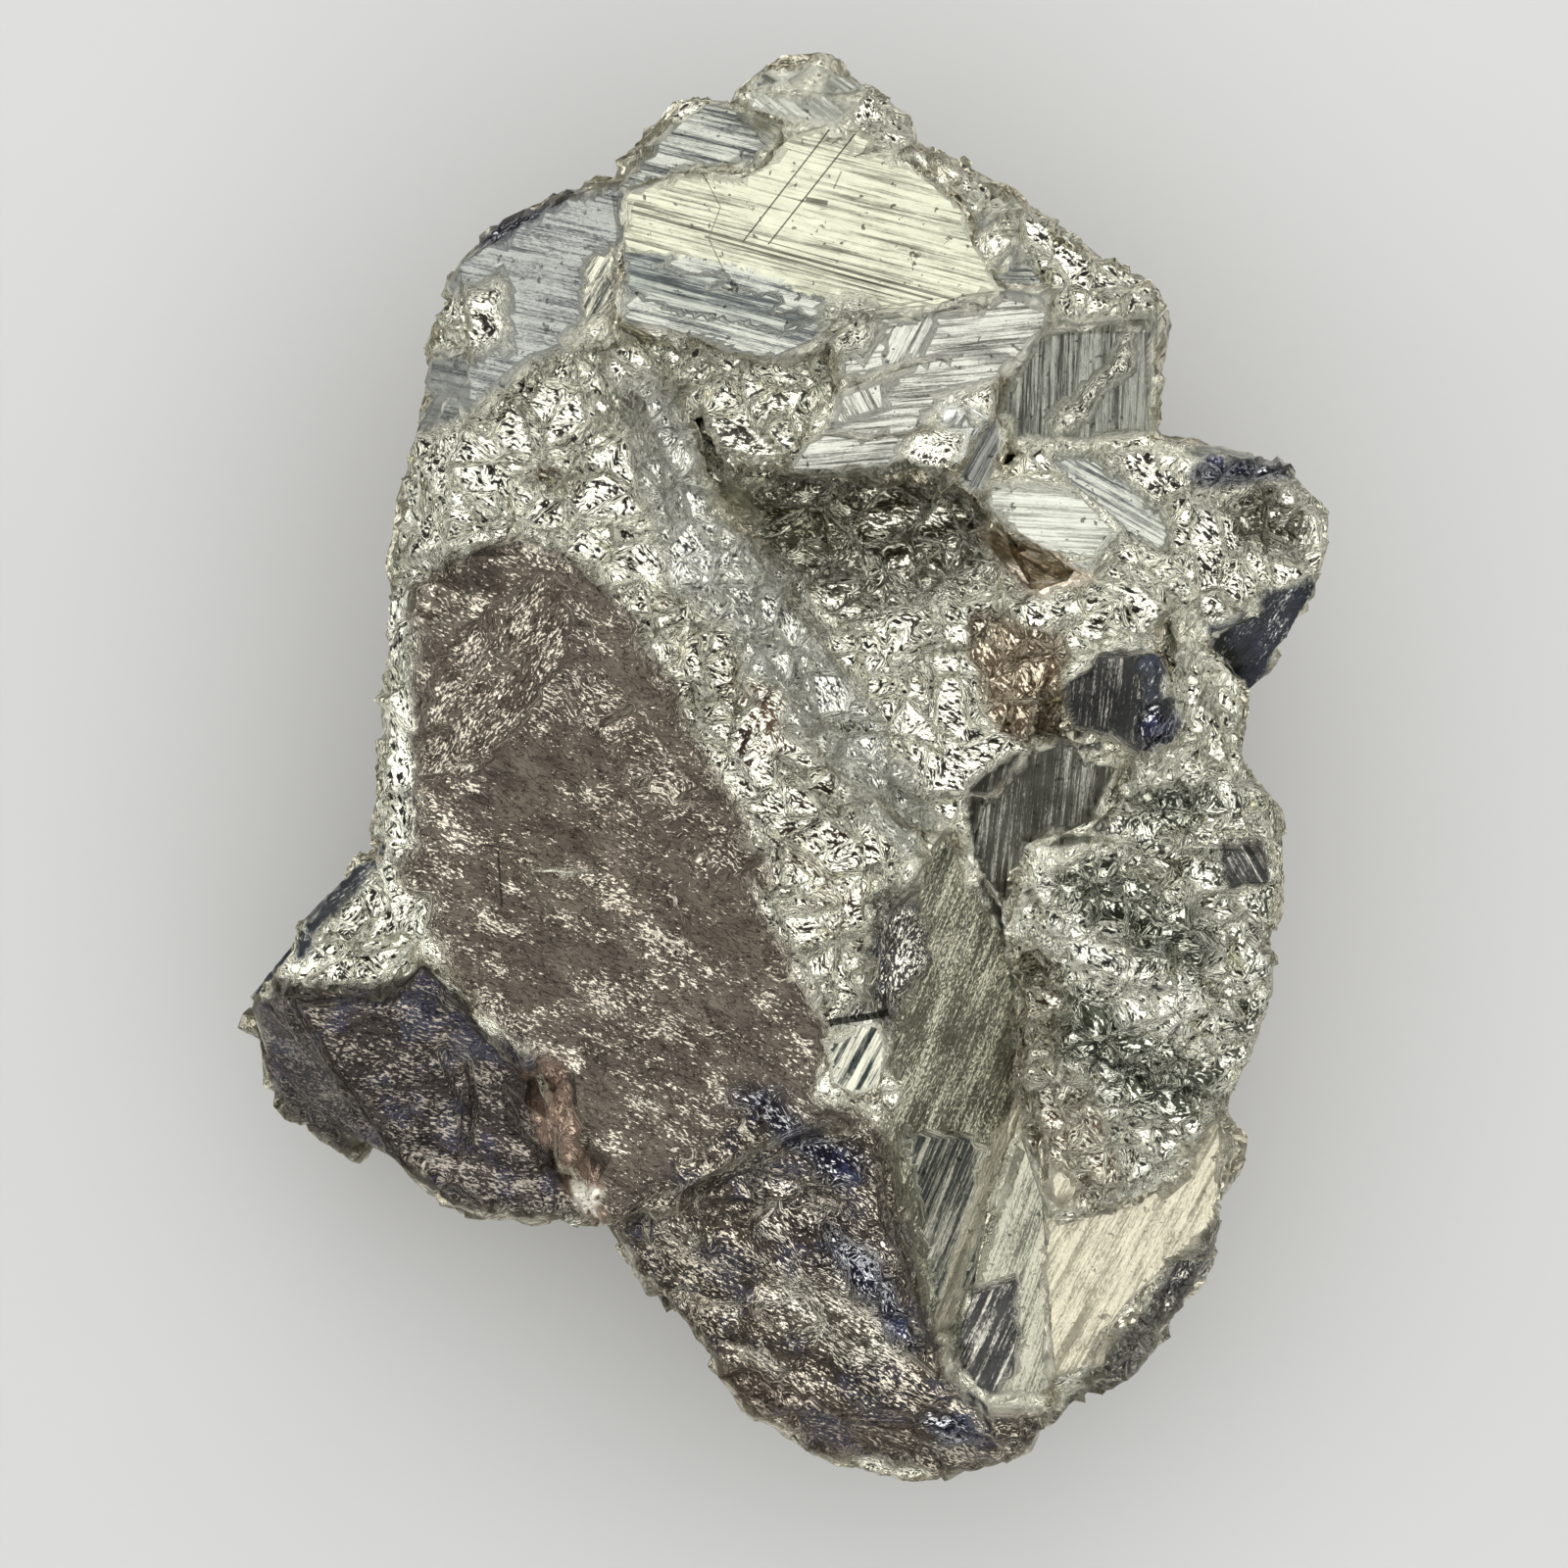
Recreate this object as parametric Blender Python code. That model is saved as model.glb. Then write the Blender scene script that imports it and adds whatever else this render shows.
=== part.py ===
"""A pyrite specimen: one intergrown mass of striated cubes, broken ledges and granular lumps.

Units in the tables are millimetres. The specimen lies on a flat cube face at z = 0 with its crystal
side up, so +Z is up, +Y runs along its length to the narrow summit and +X to the shoulder crystal.
Every crystal is a prism whose top face is a sloping plane. The prisms and the body they grow from are
cut by the leaning side faces of their part of the mass, then fused into one skin with granular relief.
"""

from dataclasses import dataclass
from math import cos, radians, sin

import bmesh
import bpy
from mathutils import Matrix, Vector, noise

MM = 0.001

# Driving dimensions of the mass.
BASE_CUT = 0.0          # height of the flat face that it rests on
GIRDLE = 12.5           # height of its widest outline
BODY_TOP = 19.0         # height that the body reaches between the crystals
SKIN_VOXEL = 0.36       # spacing of the fused skin
MOST_TRIANGLES = 9200   # what the relief is thinned to

# What counts as a needle, too thin to last on the real thing.
NEEDLE_EDGES = 4        # most edges that meet in its tip
NEEDLE_HEIGHT = 0.75    # how far its tip stands out
NEEDLE_TURN = -0.6      # cosine between two of its sides

# How a point of the skin is matched to the face that it lies on.
STEEP = 0.3             # a normal that rises less than this belongs to a side
ON_FACE = 0.55          # distance from a face's plane
SAME_WAY = 0.92         # cosine between the skin's normal and the face's

# Sizes of the three kinds of relief: rounded lumps, broken blocks with flat facets, and grains.
LUMP_SIZE, BLOCK_SIZE, GRAIN_SIZE = 4.2, 6.0, 1.7

# Heights of the lumps, blocks and grains on each finish.
SMOOTH, SATIN, ROUGH, LUMPY, BROKEN = "smooth", "satin", "rough", "lumpy", "broken"
RELIEF = {
    SMOOTH: (0.0, 0.0, 0.0),
    SATIN: (0.24, 0.12, 0.09),
    ROUGH: (0.50, 0.25, 0.40),
    LUMPY: (0.95, 0.30, 0.70),
    BROKEN: (0.40, 1.05, 0.14),
}

BODY, LOBE, SHOULDER = "body", "lobe", "shoulder"


@dataclass
class Crystal:
    """A prism: its outline in plan, a point of its top face, and how that face rises along x and y."""

    name: str
    outline: list
    through: tuple
    rise: tuple = (0.0, 0.0)
    finish: str = SMOOTH
    foot: float = 10.0
    bevel: float = 0.2
    mass: str = BODY

    def height(self, x, y):
        x0, y0, z0 = self.through
        return z0 + self.rise[0] * (x - x0) + self.rise[1] * (y - y0)

    def facing(self):
        return Vector((-self.rise[0], -self.rise[1], 1.0)).normalized()

    def covers(self, x, y):
        inside = False
        ends = self.outline[1:] + self.outline[:1]
        for (xa, ya), (xb, yb) in zip(self.outline, ends):
            if (ya > y) != (yb > y) and x < xa + (y - ya) * (xb - xa) / (yb - ya):
                inside = not inside
        return inside


# The widest outline of the body, clockwise from the summit.
GIRDLE_OUTLINE = [
    (-1.5, 35.4), (1.9, 35.8), (5.0, 34.5), (6.3, 32.3), (9.2, 31.0), (12.2, 28.9), (15.0, 27.2),
    (18.2, 25.1), (19.1, 24.0), (18.8, 20.0), (18.3, 17.4), (20.5, 12.0), (23.2, 4.5), (23.4, 1.0),
    (25.0, -1.6), (25.1, -3.5), (24.8, -7.0), (24.4, -10.0), (23.8, -12.5), (22.5, -15.5),
    (22.7, -18.0), (22.4, -21.0), (21.8, -24.0), (20.5, -27.0), (19.4, -28.3), (17.1, -29.9),
    (14.9, -31.9), (12.5, -33.9), (10.0, -35.3), (8.0, -35.9), (5.0, -35.1), (1.7, -33.9),
    (-2.0, -31.9), (-3.6, -30.0), (-5.0, -28.0), (-6.4, -26.0), (-8.0, -24.0), (-9.4, -22.3),
    (-14.0, -18.0), (-18.5, -11.0), (-20.6, -3.5), (-20.5, 0.0), (-20.4, 5.0), (-20.2, 10.0),
    (-19.7, 13.0), (-19.0, 16.0), (-18.4, 19.0), (-17.9, 22.5), (-17.3, 25.0), (-16.1, 26.8),
    (-14.8, 27.9), (-11.9, 29.5), (-9.5, 30.7), (-8.0, 31.7), (-6.4, 33.0), (-5.4, 34.8),
    (-4.2, 35.0), (-2.9, 34.5),
]
BODY_CENTRE = (1.5, 0.5)

# Heights of the body's rings and how wide each one is beside the girdle, from under the cut to its top.
BODY_RINGS = [(-1.5, 0.78), (5.0, 0.92), (GIRDLE, 1.0), (17.5, 0.985), (BODY_TOP, 0.94)]

CRYSTALS = [
    # The stepped block of striated cubes round the summit.
    Crystal("terrace_face", [
        (-8.1, 29.7), (-4.9, 31.1), (-1.9, 31.0), (-0.9, 31.9), (0.9, 33.4), (5.5, 32.1), (6.9, 30.6),
        (8.6, 29.4), (9.9, 27.3), (11.0, 24.8), (9.9, 24.3), (7.2, 23.6), (3.3, 23.8), (2.3, 22.4),
        (0.7, 21.7), (-2.5, 21.6), (-5.7, 22.7), (-8.5, 23.4), (-8.2, 26.5),
    ], (0.0, 27.5, 31.2), (0.02, -0.06)),
    Crystal("back_ledge", [
        (-8.0, 31.7), (-6.4, 33.0), (-5.4, 34.9), (-4.2, 35.1), (-2.9, 34.6), (-0.5, 33.6),
        (1.2, 33.4), (0.0, 31.0), (-4.0, 30.0), (-8.2, 29.5),
    ], (-4.0, 32.5, 29.6), (0.08, -0.28)),
    Crystal("summit_knob", [
        (-2.9, 34.6), (-1.5, 35.6), (1.9, 36.0), (3.5, 35.4), (5.0, 34.7), (6.3, 33.5), (6.5, 32.4),
        (5.0, 31.5), (0.9, 32.9), (-0.5, 33.5),
    ], (2.0, 34.0, 30.9), (-0.10, -0.22), ROUGH),
    Crystal("left_terrace", [
        (-17.3, 25.0), (-16.2, 26.9), (-14.9, 28.0), (-11.9, 29.6), (-9.5, 30.7), (-8.0, 30.4),
        (-7.5, 26.0), (-8.5, 22.5), (-12.9, 21.4), (-14.8, 19.2), (-17.5, 17.5), (-18.5, 19.0),
        (-18.0, 22.5),
    ], (-12.5, 25.5, 28.2), (0.20, -0.12)),
    Crystal("right_crag", [
        (6.6, 32.3), (9.3, 31.1), (11.7, 29.8), (12.4, 28.9), (15.0, 27.4), (18.3, 25.2), (19.2, 24.1),
        (19.1, 23.2), (13.2, 23.0), (10.0, 22.5), (8.0, 27.0), (5.5, 30.5),
    ], (12.0, 26.5, 29.6), (-0.11, -0.05), ROUGH),
    Crystal("fluted_wall", [
        (12.6, 23.6), (19.2, 23.8), (18.9, 20.0), (18.4, 17.4), (13.5, 16.6), (11.0, 17.6), (11.6, 20.5),
    ], (15.5, 20.5, 27.0), (-0.12, 0.62)),
    Crystal("brow", [
        (-9.8, 23.2), (-8.5, 23.8), (-5.7, 23.0), (-2.5, 22.0), (0.7, 22.0), (2.8, 22.8), (3.0, 18.5),
        (0.2, 16.0), (-2.8, 16.0), (-4.0, 18.5), (-5.6, 20.0), (-8.0, 21.3), (-10.2, 21.8),
    ], (-3.0, 20.5, 28.6), (0.05, 0.10), ROUGH),
    Crystal("chevron_step_1", [
        (2.3, 22.4), (3.3, 23.9), (7.2, 23.8), (9.9, 24.5), (11.0, 24.9), (13.2, 25.0), (13.0, 23.3),
        (11.9, 21.6), (9.0, 21.9), (6.0, 21.0), (4.0, 20.2), (2.4, 20.2),
    ], (7.5, 22.8, 30.85), (0.0, 0.04), bevel=0.1),
    Crystal("chevron_step_2", [
        (2.4, 20.6), (4.5, 21.0), (6.5, 21.6), (9.5, 22.2), (12.1, 21.8), (11.0, 20.0), (10.6, 18.2),
        (8.0, 18.7), (5.0, 17.8), (2.4, 17.8),
    ], (7.0, 20.0, 30.3), (0.03, 0.05), bevel=0.1),
    Crystal("chevron_step_3", [
        (2.4, 18.4), (5.0, 18.4), (8.0, 19.2), (10.6, 18.6), (9.4, 17.1), (8.0, 15.1), (6.3, 16.0),
        (3.5, 15.6), (0.2, 16.2),
    ], (5.5, 17.2, 29.6), (0.04, 0.10), bevel=0.1),
    Crystal("striated_column", [
        (9.3, 17.4), (10.6, 18.6), (11.4, 18.2), (10.8, 16.0), (10.0, 14.3), (8.2, 15.2),
    ], (10.0, 16.5, 27.2), (-0.30, 0.55)),
    # The broken flank below them and the long ridge that runs down from it.
    Crystal("left_crag", [
        (-18.5, 19.2), (-17.5, 18.3), (-14.8, 20.0), (-12.9, 22.0), (-10.2, 22.6), (-8.0, 21.8),
        (-6.0, 19.5), (-5.0, 16.0), (-5.2, 12.0), (-8.5, 10.5), (-12.0, 12.0), (-16.5, 11.8),
        (-19.5, 10.0), (-20.2, 10.0), (-19.8, 13.0), (-19.1, 16.0),
    ], (-12.0, 16.0, 27.7), (0.10, 0.06), ROUGH),
    Crystal("ridge_crest", [
        (-8.0, 12.5), (-5.0, 13.5), (-2.8, 9.5), (0.5, 4.5), (3.0, 1.0), (5.5, -1.5), (7.6, -2.8),
        (6.9, -5.2), (4.6, -6.0), (4.5, -10.5), (1.8, -11.5), (0.0, -8.0), (-2.0, -4.0),
        (-4.0, 1.5), (-5.6, 5.0), (-8.0, 8.2), (-9.5, 10.5),
    ], (-1.0, 2.0, 28.6), (0.03, 0.02), ROUGH),
    Crystal("ridge_flank", [
        (-9.0, 21.8), (-7.0, 21.4), (-4.5, 18.0), (-3.9, 16.0), (-1.9, 12.0), (1.6, 8.0), (3.7, 4.8),
        (6.6, 0.6), (8.2, -2.4), (7.0, -3.6), (4.5, -2.0), (1.5, 1.5), (-1.5, 6.0), (-4.5, 11.5),
        (-5.5, 15.0),
    ], (-1.0, 8.5, 28.1), (-0.30, -0.02), ROUGH),
    Crystal("hollow_floor", [
        (-5.2, 20.3), (-1.0, 21.0), (3.0, 18.5), (5.0, 15.5), (10.2, 14.5), (11.0, 12.5), (12.8, 10.0),
        (10.0, 7.6), (5.0, 5.2), (3.3, 4.8), (1.0, 8.0), (-2.4, 12.0), (-4.4, 16.0),
    ], (3.5, 12.0, 24.1), (-0.08, -0.29), ROUGH),
    # The bronze-skinned mass on the left and the slope below it.
    Crystal("bronze_face", [
        (-20.2, 10.2), (-18.5, 11.4), (-15.0, 12.2), (-12.0, 12.4), (-9.4, 10.0), (-8.0, 8.2),
        (-5.5, 5.0), (-3.8, 1.5), (-1.8, -4.0), (0.2, -8.0), (1.8, -11.2), (4.6, -10.4), (4.7, -14.0),
        (5.2, -16.5), (0.5, -18.0), (-4.0, -20.5), (-9.0, -22.6), (-11.0, -20.0), (-12.5, -15.5),
        (-16.0, -11.0), (-19.5, -8.0), (-20.7, -3.5), (-20.5, 5.0),
    ], (-2.0, -4.0, 28.1), (0.34, 0.18), SATIN),
    Crystal("lower_slope", [
        (-9.6, -22.0), (-4.5, -18.5), (0.5, -16.8), (5.1, -16.4), (5.3, -21.0), (6.3, -24.5), (7.8, -29.0),
        (10.3, -31.6), (13.8, -31.6), (12.5, -33.9), (10.0, -35.4), (8.0, -36.0), (5.0, -35.2),
        (1.7, -34.0), (-2.0, -32.0), (-5.0, -28.0), (-8.0, -24.0),
    ], (4.5, -18.0, 26.2), (0.24, 0.36), SATIN),
    Crystal("window_facet", [
        (2.2, -12.9), (5.3, -12.0), (5.3, -15.6), (3.0, -16.2), (1.9, -14.6),
    ], (3.8, -14.2, 28.6), (0.0, 0.0)),
    # The left lobe.
    Crystal("lobe_facet", [
        (-20.8, -3.3), (-18.6, -5.0), (-18.0, -7.5), (-20.5, -10.8), (-25.8, -10.5), (-27.6, -11.2),
        (-26.2, -9.3), (-24.0, -6.7), (-22.2, -4.7),
    ], (-22.0, -8.0, 21.4), (0.05, -0.02), ROUGH, foot=3.0, mass=LOBE),
    Crystal("left_lobe", [
        (-27.8, -11.2), (-25.5, -10.2), (-21.0, -10.0), (-16.5, -9.0), (-13.0, -13.0), (-11.5, -17.0),
        (-9.8, -22.5), (-12.0, -22.7), (-15.0, -22.4), (-17.5, -21.7), (-20.8, -19.0), (-23.5, -18.2),
        (-25.8, -17.2), (-27.0, -14.5),
    ], (-19.0, -15.0, 18.6), (0.06, 0.34), SATIN, foot=2.0, mass=LOBE),
    # The long groove and the faces beside it.
    Crystal("groove_face", [
        (8.2, -2.2), (10.2, -4.6), (11.6, -7.8), (12.2, -10.5), (13.2, -15.8), (12.5, -17.0),
        (10.2, -24.5), (8.0, -29.6), (6.4, -24.6), (5.2, -21.2), (5.0, -16.0), (4.8, -13.5),
        (4.3, -10.5), (4.4, -6.0), (6.6, -5.0),
    ], (5.25, -16.5, 25.7), (-0.42, 0.20)),
    Crystal("silver_face", [
        (12.4, -16.0), (13.4, -17.4), (13.6, -22.5), (13.7, -27.0), (13.8, -31.6), (10.0, -32.0),
        (7.9, -29.6), (9.8, -24.5),
    ], (10.0, -24.5, 22.1), (0.20, 0.10)),
    Crystal("cream_face", [
        (13.3, -22.3), (16.5, -21.4), (20.0, -18.5), (22.5, -16.8), (22.8, -18.0), (22.5, -21.0),
        (21.8, -24.2), (19.8, -24.6), (18.0, -26.6), (15.4, -30.2), (13.6, -30.8),
    ], (17.5, -24.0, 22.7), (-0.02, 0.02)),
    Crystal("dark_rim", [
        (19.6, -24.2), (22.0, -23.6), (20.6, -27.0), (19.5, -28.4), (17.1, -30.0), (13.8, -32.8),
        (13.4, -30.4), (15.4, -30.0), (18.0, -26.4),
    ], (18.5, -27.5, 20.4), (-0.35, 0.32), ROUGH),
    # The right side: the shoulder crystal, the dark cube faces and the granular mass.
    Crystal("right_core", [
        (6.0, 2.0), (10.0, 9.0), (14.0, 14.5), (18.0, 15.5), (20.5, 10.0), (21.5, 4.0), (21.0, -8.0),
        (14.0, -8.0), (12.0, -5.5), (9.0, -2.0),
    ], (14.0, 3.0, 22.6), (0.0, 0.02), ROUGH),
    Crystal("shoulder", [
        (12.2, 16.6), (13.8, 17.2), (18.4, 17.5), (20.5, 17.3), (23.0, 16.9), (25.3, 16.1), (26.3, 15.0),
        (27.7, 13.8), (27.8, 12.5), (27.2, 10.6), (24.6, 9.0), (21.6, 7.2), (19.5, 8.8), (17.4, 11.0),
        (14.7, 14.6), (11.0, 15.4),
    ], (20.0, 13.0, 25.2), (-0.05, 0.04), ROUGH, foot=6.0, mass=SHOULDER),
    Crystal("shoulder_flank", [
        (21.4, 7.6), (24.5, 9.4), (27.3, 10.8), (26.8, 9.0), (25.0, 6.4), (23.7, 4.7), (22.2, 5.4),
    ], (24.4, 8.2, 23.2), (-0.10, 0.85), foot=6.0, mass=SHOULDER),
    Crystal("triangle_facet", [
        (10.5, 15.2), (11.1, 15.7), (14.8, 15.2), (17.4, 12.8), (16.4, 11.2), (15.2, 10.7), (10.3, 13.8),
    ], (14.0, 13.5, 25.8), (0.02, -0.02)),
    Crystal("hollow_bank", [
        (3.3, 5.1), (5.0, 5.7), (10.0, 8.2), (13.0, 10.2), (15.2, 10.6), (17.4, 11.0), (19.6, 9.0),
        (18.2, 6.8), (15.2, 6.3), (13.9, 5.0), (12.0, 1.5), (10.0, -0.5), (9.3, -2.3), (8.0, -2.4),
        (6.4, 0.8),
    ], (11.0, 5.0, 25.9), (-0.05, 0.03), ROUGH),
    Crystal("navy_facet", [
        (13.8, 4.9), (15.2, 6.5), (17.0, 7.7), (18.4, 6.8), (20.2, 4.6), (20.6, 2.7), (19.0, 1.4),
        (16.5, 2.0), (14.2, 2.6),
    ], (17.0, 4.5, 24.9), (-0.22, 0.34)),
    Crystal("olive_facet", [
        (11.8, 1.7), (14.5, 2.3), (17.7, 0.2), (16.6, -2.2), (13.0, -3.2), (12.3, -6.0), (11.3, -7.9),
        (10.3, -4.6), (9.1, -2.2), (10.0, -0.3),
    ], (13.0, -1.0, 24.2), (-0.32, 0.12)),
    Crystal("right_mass", [
        (12.6, -3.0), (16.4, -1.8), (17.8, 0.6), (20.4, 2.6), (20.4, 5.0), (19.6, 8.6), (22.2, 6.0),
        (23.3, 4.0), (23.5, 1.0), (25.1, -1.6), (25.2, -3.5), (24.9, -7.0), (24.4, -10.0),
        (23.9, -12.5), (22.6, -15.4), (20.8, -19.0), (16.6, -22.0), (14.0, -22.0), (13.0, -19.0),
        (12.2, -15.0), (12.4, -10.0), (11.5, -7.8), (12.1, -6.0),
    ], (18.0, -8.0, 25.2), (-0.10, 0.0), LUMPY),
    Crystal("right_mass_dome", [
        (13.2, -4.4), (16.5, -3.4), (20.0, -4.5), (22.3, -8.0), (21.8, -12.0), (18.5, -15.0),
        (14.8, -14.0), (12.8, -9.5),
    ], (17.0, -9.0, 26.8), (-0.10, 0.08), LUMPY, bevel=1.2),
    Crystal("right_mass_foot", [
        (13.0, -14.0), (17.0, -13.5), (20.5, -15.5), (20.3, -18.5), (16.4, -21.3), (14.2, -21.0),
    ], (16.5, -17.0, 25.4), (-0.12, 0.10), LUMPY, bevel=0.8),
]



@dataclass
class Side:
    """A plane that bounds a mass: a point of it, the way it faces in plan, and its lean from upright.

    The azimuth is in degrees from +X. A side with a positive lean overhangs, so it draws the mass in
    towards the base; one with a negative lean is a chamfer along the rim of the top.
    """

    through: tuple
    azimuth: float
    lean: float
    finish: str = BROKEN

    def facing(self):
        around, down = radians(self.azimuth), radians(self.lean)
        return Vector((cos(around) * cos(down), sin(around) * cos(down), -sin(down)))


SIDES = {
    BODY: [
        Side((-20.6, -3.0, 17.0), 178, 20, SMOOTH),
        Side((-20.4, 9.0, 20.5), 168, 31),
        Side((-14.8, 27.9, 20.0), 127, 36),
        Side((1.0, 35.8, 22.5), 88, 24),
        Side((12.2, 28.9, 19.0), 57, 33, SMOOTH),
        Side((25.2, -3.2, 16.0), 2, 24),
        Side((21.8, -24.0, 14.0), -16, 18, SMOOTH),
        Side((12.5, -33.9, 12.0), -53, 34),
        Side((8.0, -35.9, 15.0), -100, 29),
        Side((-2.0, -31.9, 14.0), 224, 23, SMOOTH),
        Side((-20.6, 3.0, 23.0), 178, -38, SATIN),
        Side((-17.8, 23.0, 26.7), 166, -36, SATIN),
        Side((-14.8, 27.9, 27.3), 127, -34, SATIN),
        Side((5.0, -34.8, 18.2), -104, -34, SATIN),
    ],
    LOBE: [
        Side((-24.0, -6.7, 15.0), 139, 16, SMOOTH),
        Side((-27.4, -13.0, 12.0), 192, 34),
        Side((-17.5, -21.5, 11.0), 250, 38),
        Side((-24.2, -6.9, 20.4), 139, -32, SMOOTH),
        Side((-25.8, -17.0, 12.5), 222, -30, SATIN),
    ],
    SHOULDER: [
        Side((25.6, 16.0, 21.0), 62, 28),
        Side((27.8, 12.6, 21.5), 4, 38, SMOOTH),
        Side((25.0, 6.6, 20.0), -31, 46, SMOOTH),
        Side((23.4, 16.7, 24.6), 76, -40, SATIN),
    ],
}

# Cubes that grew out of the sides and the back: centre, edge, and turns about x, y and z in degrees.
SIDE_CUBES = [
    ((-11.5, 6.0, 8.5), 12.0, (14, -22, 8)),
    ((12.5, -10.0, 9.0), 14.0, (-12, 24, 22)),
    ((3.0, 23.5, 10.5), 13.0, (28, 6, 14)),
    ((-1.0, -18.5, 9.0), 12.5, (-24, -12, 40)),
    ((14.0, 12.5, 11.0), 12.0, (10, 20, -12)),
]

# Hollows pressed into the relief: centre in plan, radius and depth.
PITS = [
    (24.4, 13.4, 2.4, 1.3),
    (-12.0, -15.6, 1.5, 1.7),
    (-10.6, -19.4, 1.7, 2.2),
    (12.9, -9.6, 1.3, 1.6),
    (13.2, -12.9, 1.5, 1.2),
    (-17.6, 10.0, 1.9, 0.8),
    (-11.3, 15.4, 1.2, 0.7),
    (18.5, -4.4, 2.2, 0.9),
    (20.6, -9.4, 1.8, 0.8),
]


def clear_scene():
    for obj in list(bpy.data.objects):
        bpy.data.objects.remove(obj)


def add_loft(mesh, rings):
    """Closed solid through rings of equal length, capped at both ends."""
    rows = [[mesh.verts.new(Vector(p) * MM) for p in ring] for ring in rings]
    for low, high in zip(rows, rows[1:]):
        for i in range(len(low)):
            j = (i + 1) % len(low)
            mesh.faces.new((low[i], low[j], high[j], high[i]))
    mesh.faces.new(rows[0])
    mesh.faces.new(rows[-1])


def body_rings():
    """The girdle outline at each height of BODY_RINGS, drawn in towards the centre of the body."""
    cx, cy = BODY_CENTRE
    return [
        [(cx + (x - cx) * width, cy + (y - cy) * width, height) for x, y in GIRDLE_OUTLINE]
        for height, width in BODY_RINGS
    ]


def drawn_in(outline, distance):
    """The outline with each corner moved inwards by a distance, along its bisector."""
    points = [Vector(p) for p in outline]
    area = sum(a.x * b.y - b.x * a.y for a, b in zip(points, points[1:] + points[:1]))
    side = 1.0 if area > 0 else -1.0
    moved = []
    for before, here, after in zip(points[-1:] + points[:-1], points, points[1:] + points[:1]):
        along_a = (here - before).normalized()
        along_b = (after - here).normalized()
        inward = Vector((-along_a.y - along_b.y, along_a.x + along_b.x)) * side
        if inward.length > 1e-6:
            inward.normalize()
        moved.append(here + inward * distance)
    return [(p.x, p.y) for p in moved]


def crystal_rings(crystal):
    """Foot, shoulder and chamfered top of a prism."""
    inner = drawn_in(crystal.outline, crystal.bevel)
    return [
        [(x, y, crystal.foot) for x, y in crystal.outline],
        [(x, y, crystal.height(x, y) - crystal.bevel) for x, y in crystal.outline],
        [(x, y, crystal.height(x, y)) for x, y in inner],
    ]


def cut_off(mesh, point, facing):
    """Removes what lies beyond a plane and closes the cut."""
    everything = mesh.verts[:] + mesh.edges[:] + mesh.faces[:]
    cut = bmesh.ops.bisect_plane(
        mesh, geom=everything, dist=1e-7, plane_co=Vector(point) * MM, plane_no=facing, clear_outer=True
    )
    rim = [e for e in cut["geom_cut"] if isinstance(e, bmesh.types.BMEdge)]
    if rim:
        bmesh.ops.holes_fill(mesh, edges=rim)


def add_within(mesh, rings, mass):
    """Adds the loft of the rings, bounded by the sides of its mass."""
    piece = bmesh.new()
    add_loft(piece, rings)
    bmesh.ops.recalc_face_normals(piece, faces=piece.faces)
    for side in SIDES[mass]:
        cut_off(piece, side.through, side.facing())
    data = bpy.data.meshes.new("piece")
    piece.to_mesh(data)
    piece.free()
    mesh.from_mesh(data)
    bpy.data.meshes.remove(data)


def add_cube(mesh, centre, edge, turns):
    """A cube crystal, turned about x, y and z."""
    turn = Matrix.Identity(4)
    for angle, axis in zip(turns, "XYZ"):
        turn = turn @ Matrix.Rotation(radians(angle), 4, axis)
    place = Matrix.Translation(Vector(centre) * MM) @ turn
    bmesh.ops.create_cube(mesh, size=edge * MM, matrix=place)


def fused_mesh():
    """The body and all crystals in one mesh, still overlapping."""
    mesh = bmesh.new()
    add_within(mesh, body_rings(), BODY)
    for crystal in CRYSTALS:
        add_within(mesh, crystal_rings(crystal), crystal.mass)
    for centre, edge, turns in SIDE_CUBES:
        add_cube(mesh, centre, edge, turns)
    bmesh.ops.recalc_face_normals(mesh, faces=mesh.faces)
    data = bpy.data.meshes.new("pyrite")
    mesh.to_mesh(data)
    mesh.free()
    return data


def apply_modifiers(obj):
    """Replaces the object's mesh by what its modifiers make of it."""
    graph = bpy.context.evaluated_depsgraph_get()
    made = bpy.data.meshes.new_from_object(obj.evaluated_get(graph))
    obj.modifiers.clear()
    obj.data = made


def fuse_skin(obj):
    remesh = obj.modifiers.new("skin", "REMESH")
    remesh.mode = "VOXEL"
    remesh.voxel_size = SKIN_VOXEL * MM
    apply_modifiers(obj)


def side_finish(point, normal):
    """The finish of the side face that a point of the skin lies on, or BROKEN."""
    for sides in SIDES.values():
        for side in sides:
            facing = side.facing()
            away = abs((point - Vector(side.through)).dot(facing))
            if away < ON_FACE and normal.dot(facing) > SAME_WAY:
                return side.finish
    return BROKEN


def finish_at(point, normal):
    """The finish of the side or of the highest crystal that a point of the skin lies on."""
    if normal.z < STEEP or point.z < GIRDLE:
        return side_finish(point, normal)
    above = [crystal for crystal in CRYSTALS if crystal.covers(point.x, point.y)]
    if not above:
        return ROUGH
    crystal = max(above, key=lambda one: one.height(point.x, point.y))
    away = abs(point.z - crystal.height(point.x, point.y))
    on_face = away < ON_FACE and normal.dot(crystal.facing()) > SAME_WAY
    return ROUGH if crystal.finish == SMOOTH and not on_face else crystal.finish


def blocky(point, size):
    """Relief from -1 to 1 made of tilted flat facets about a size across."""
    place = point / size
    _, centres = noise.voronoi(place)
    tilt = noise.cell_vector(centres[0]) * 2.0 - Vector((1.0, 1.0, 1.0))
    return max(-1.0, min(1.0, tilt.dot(place - centres[0])))


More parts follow.
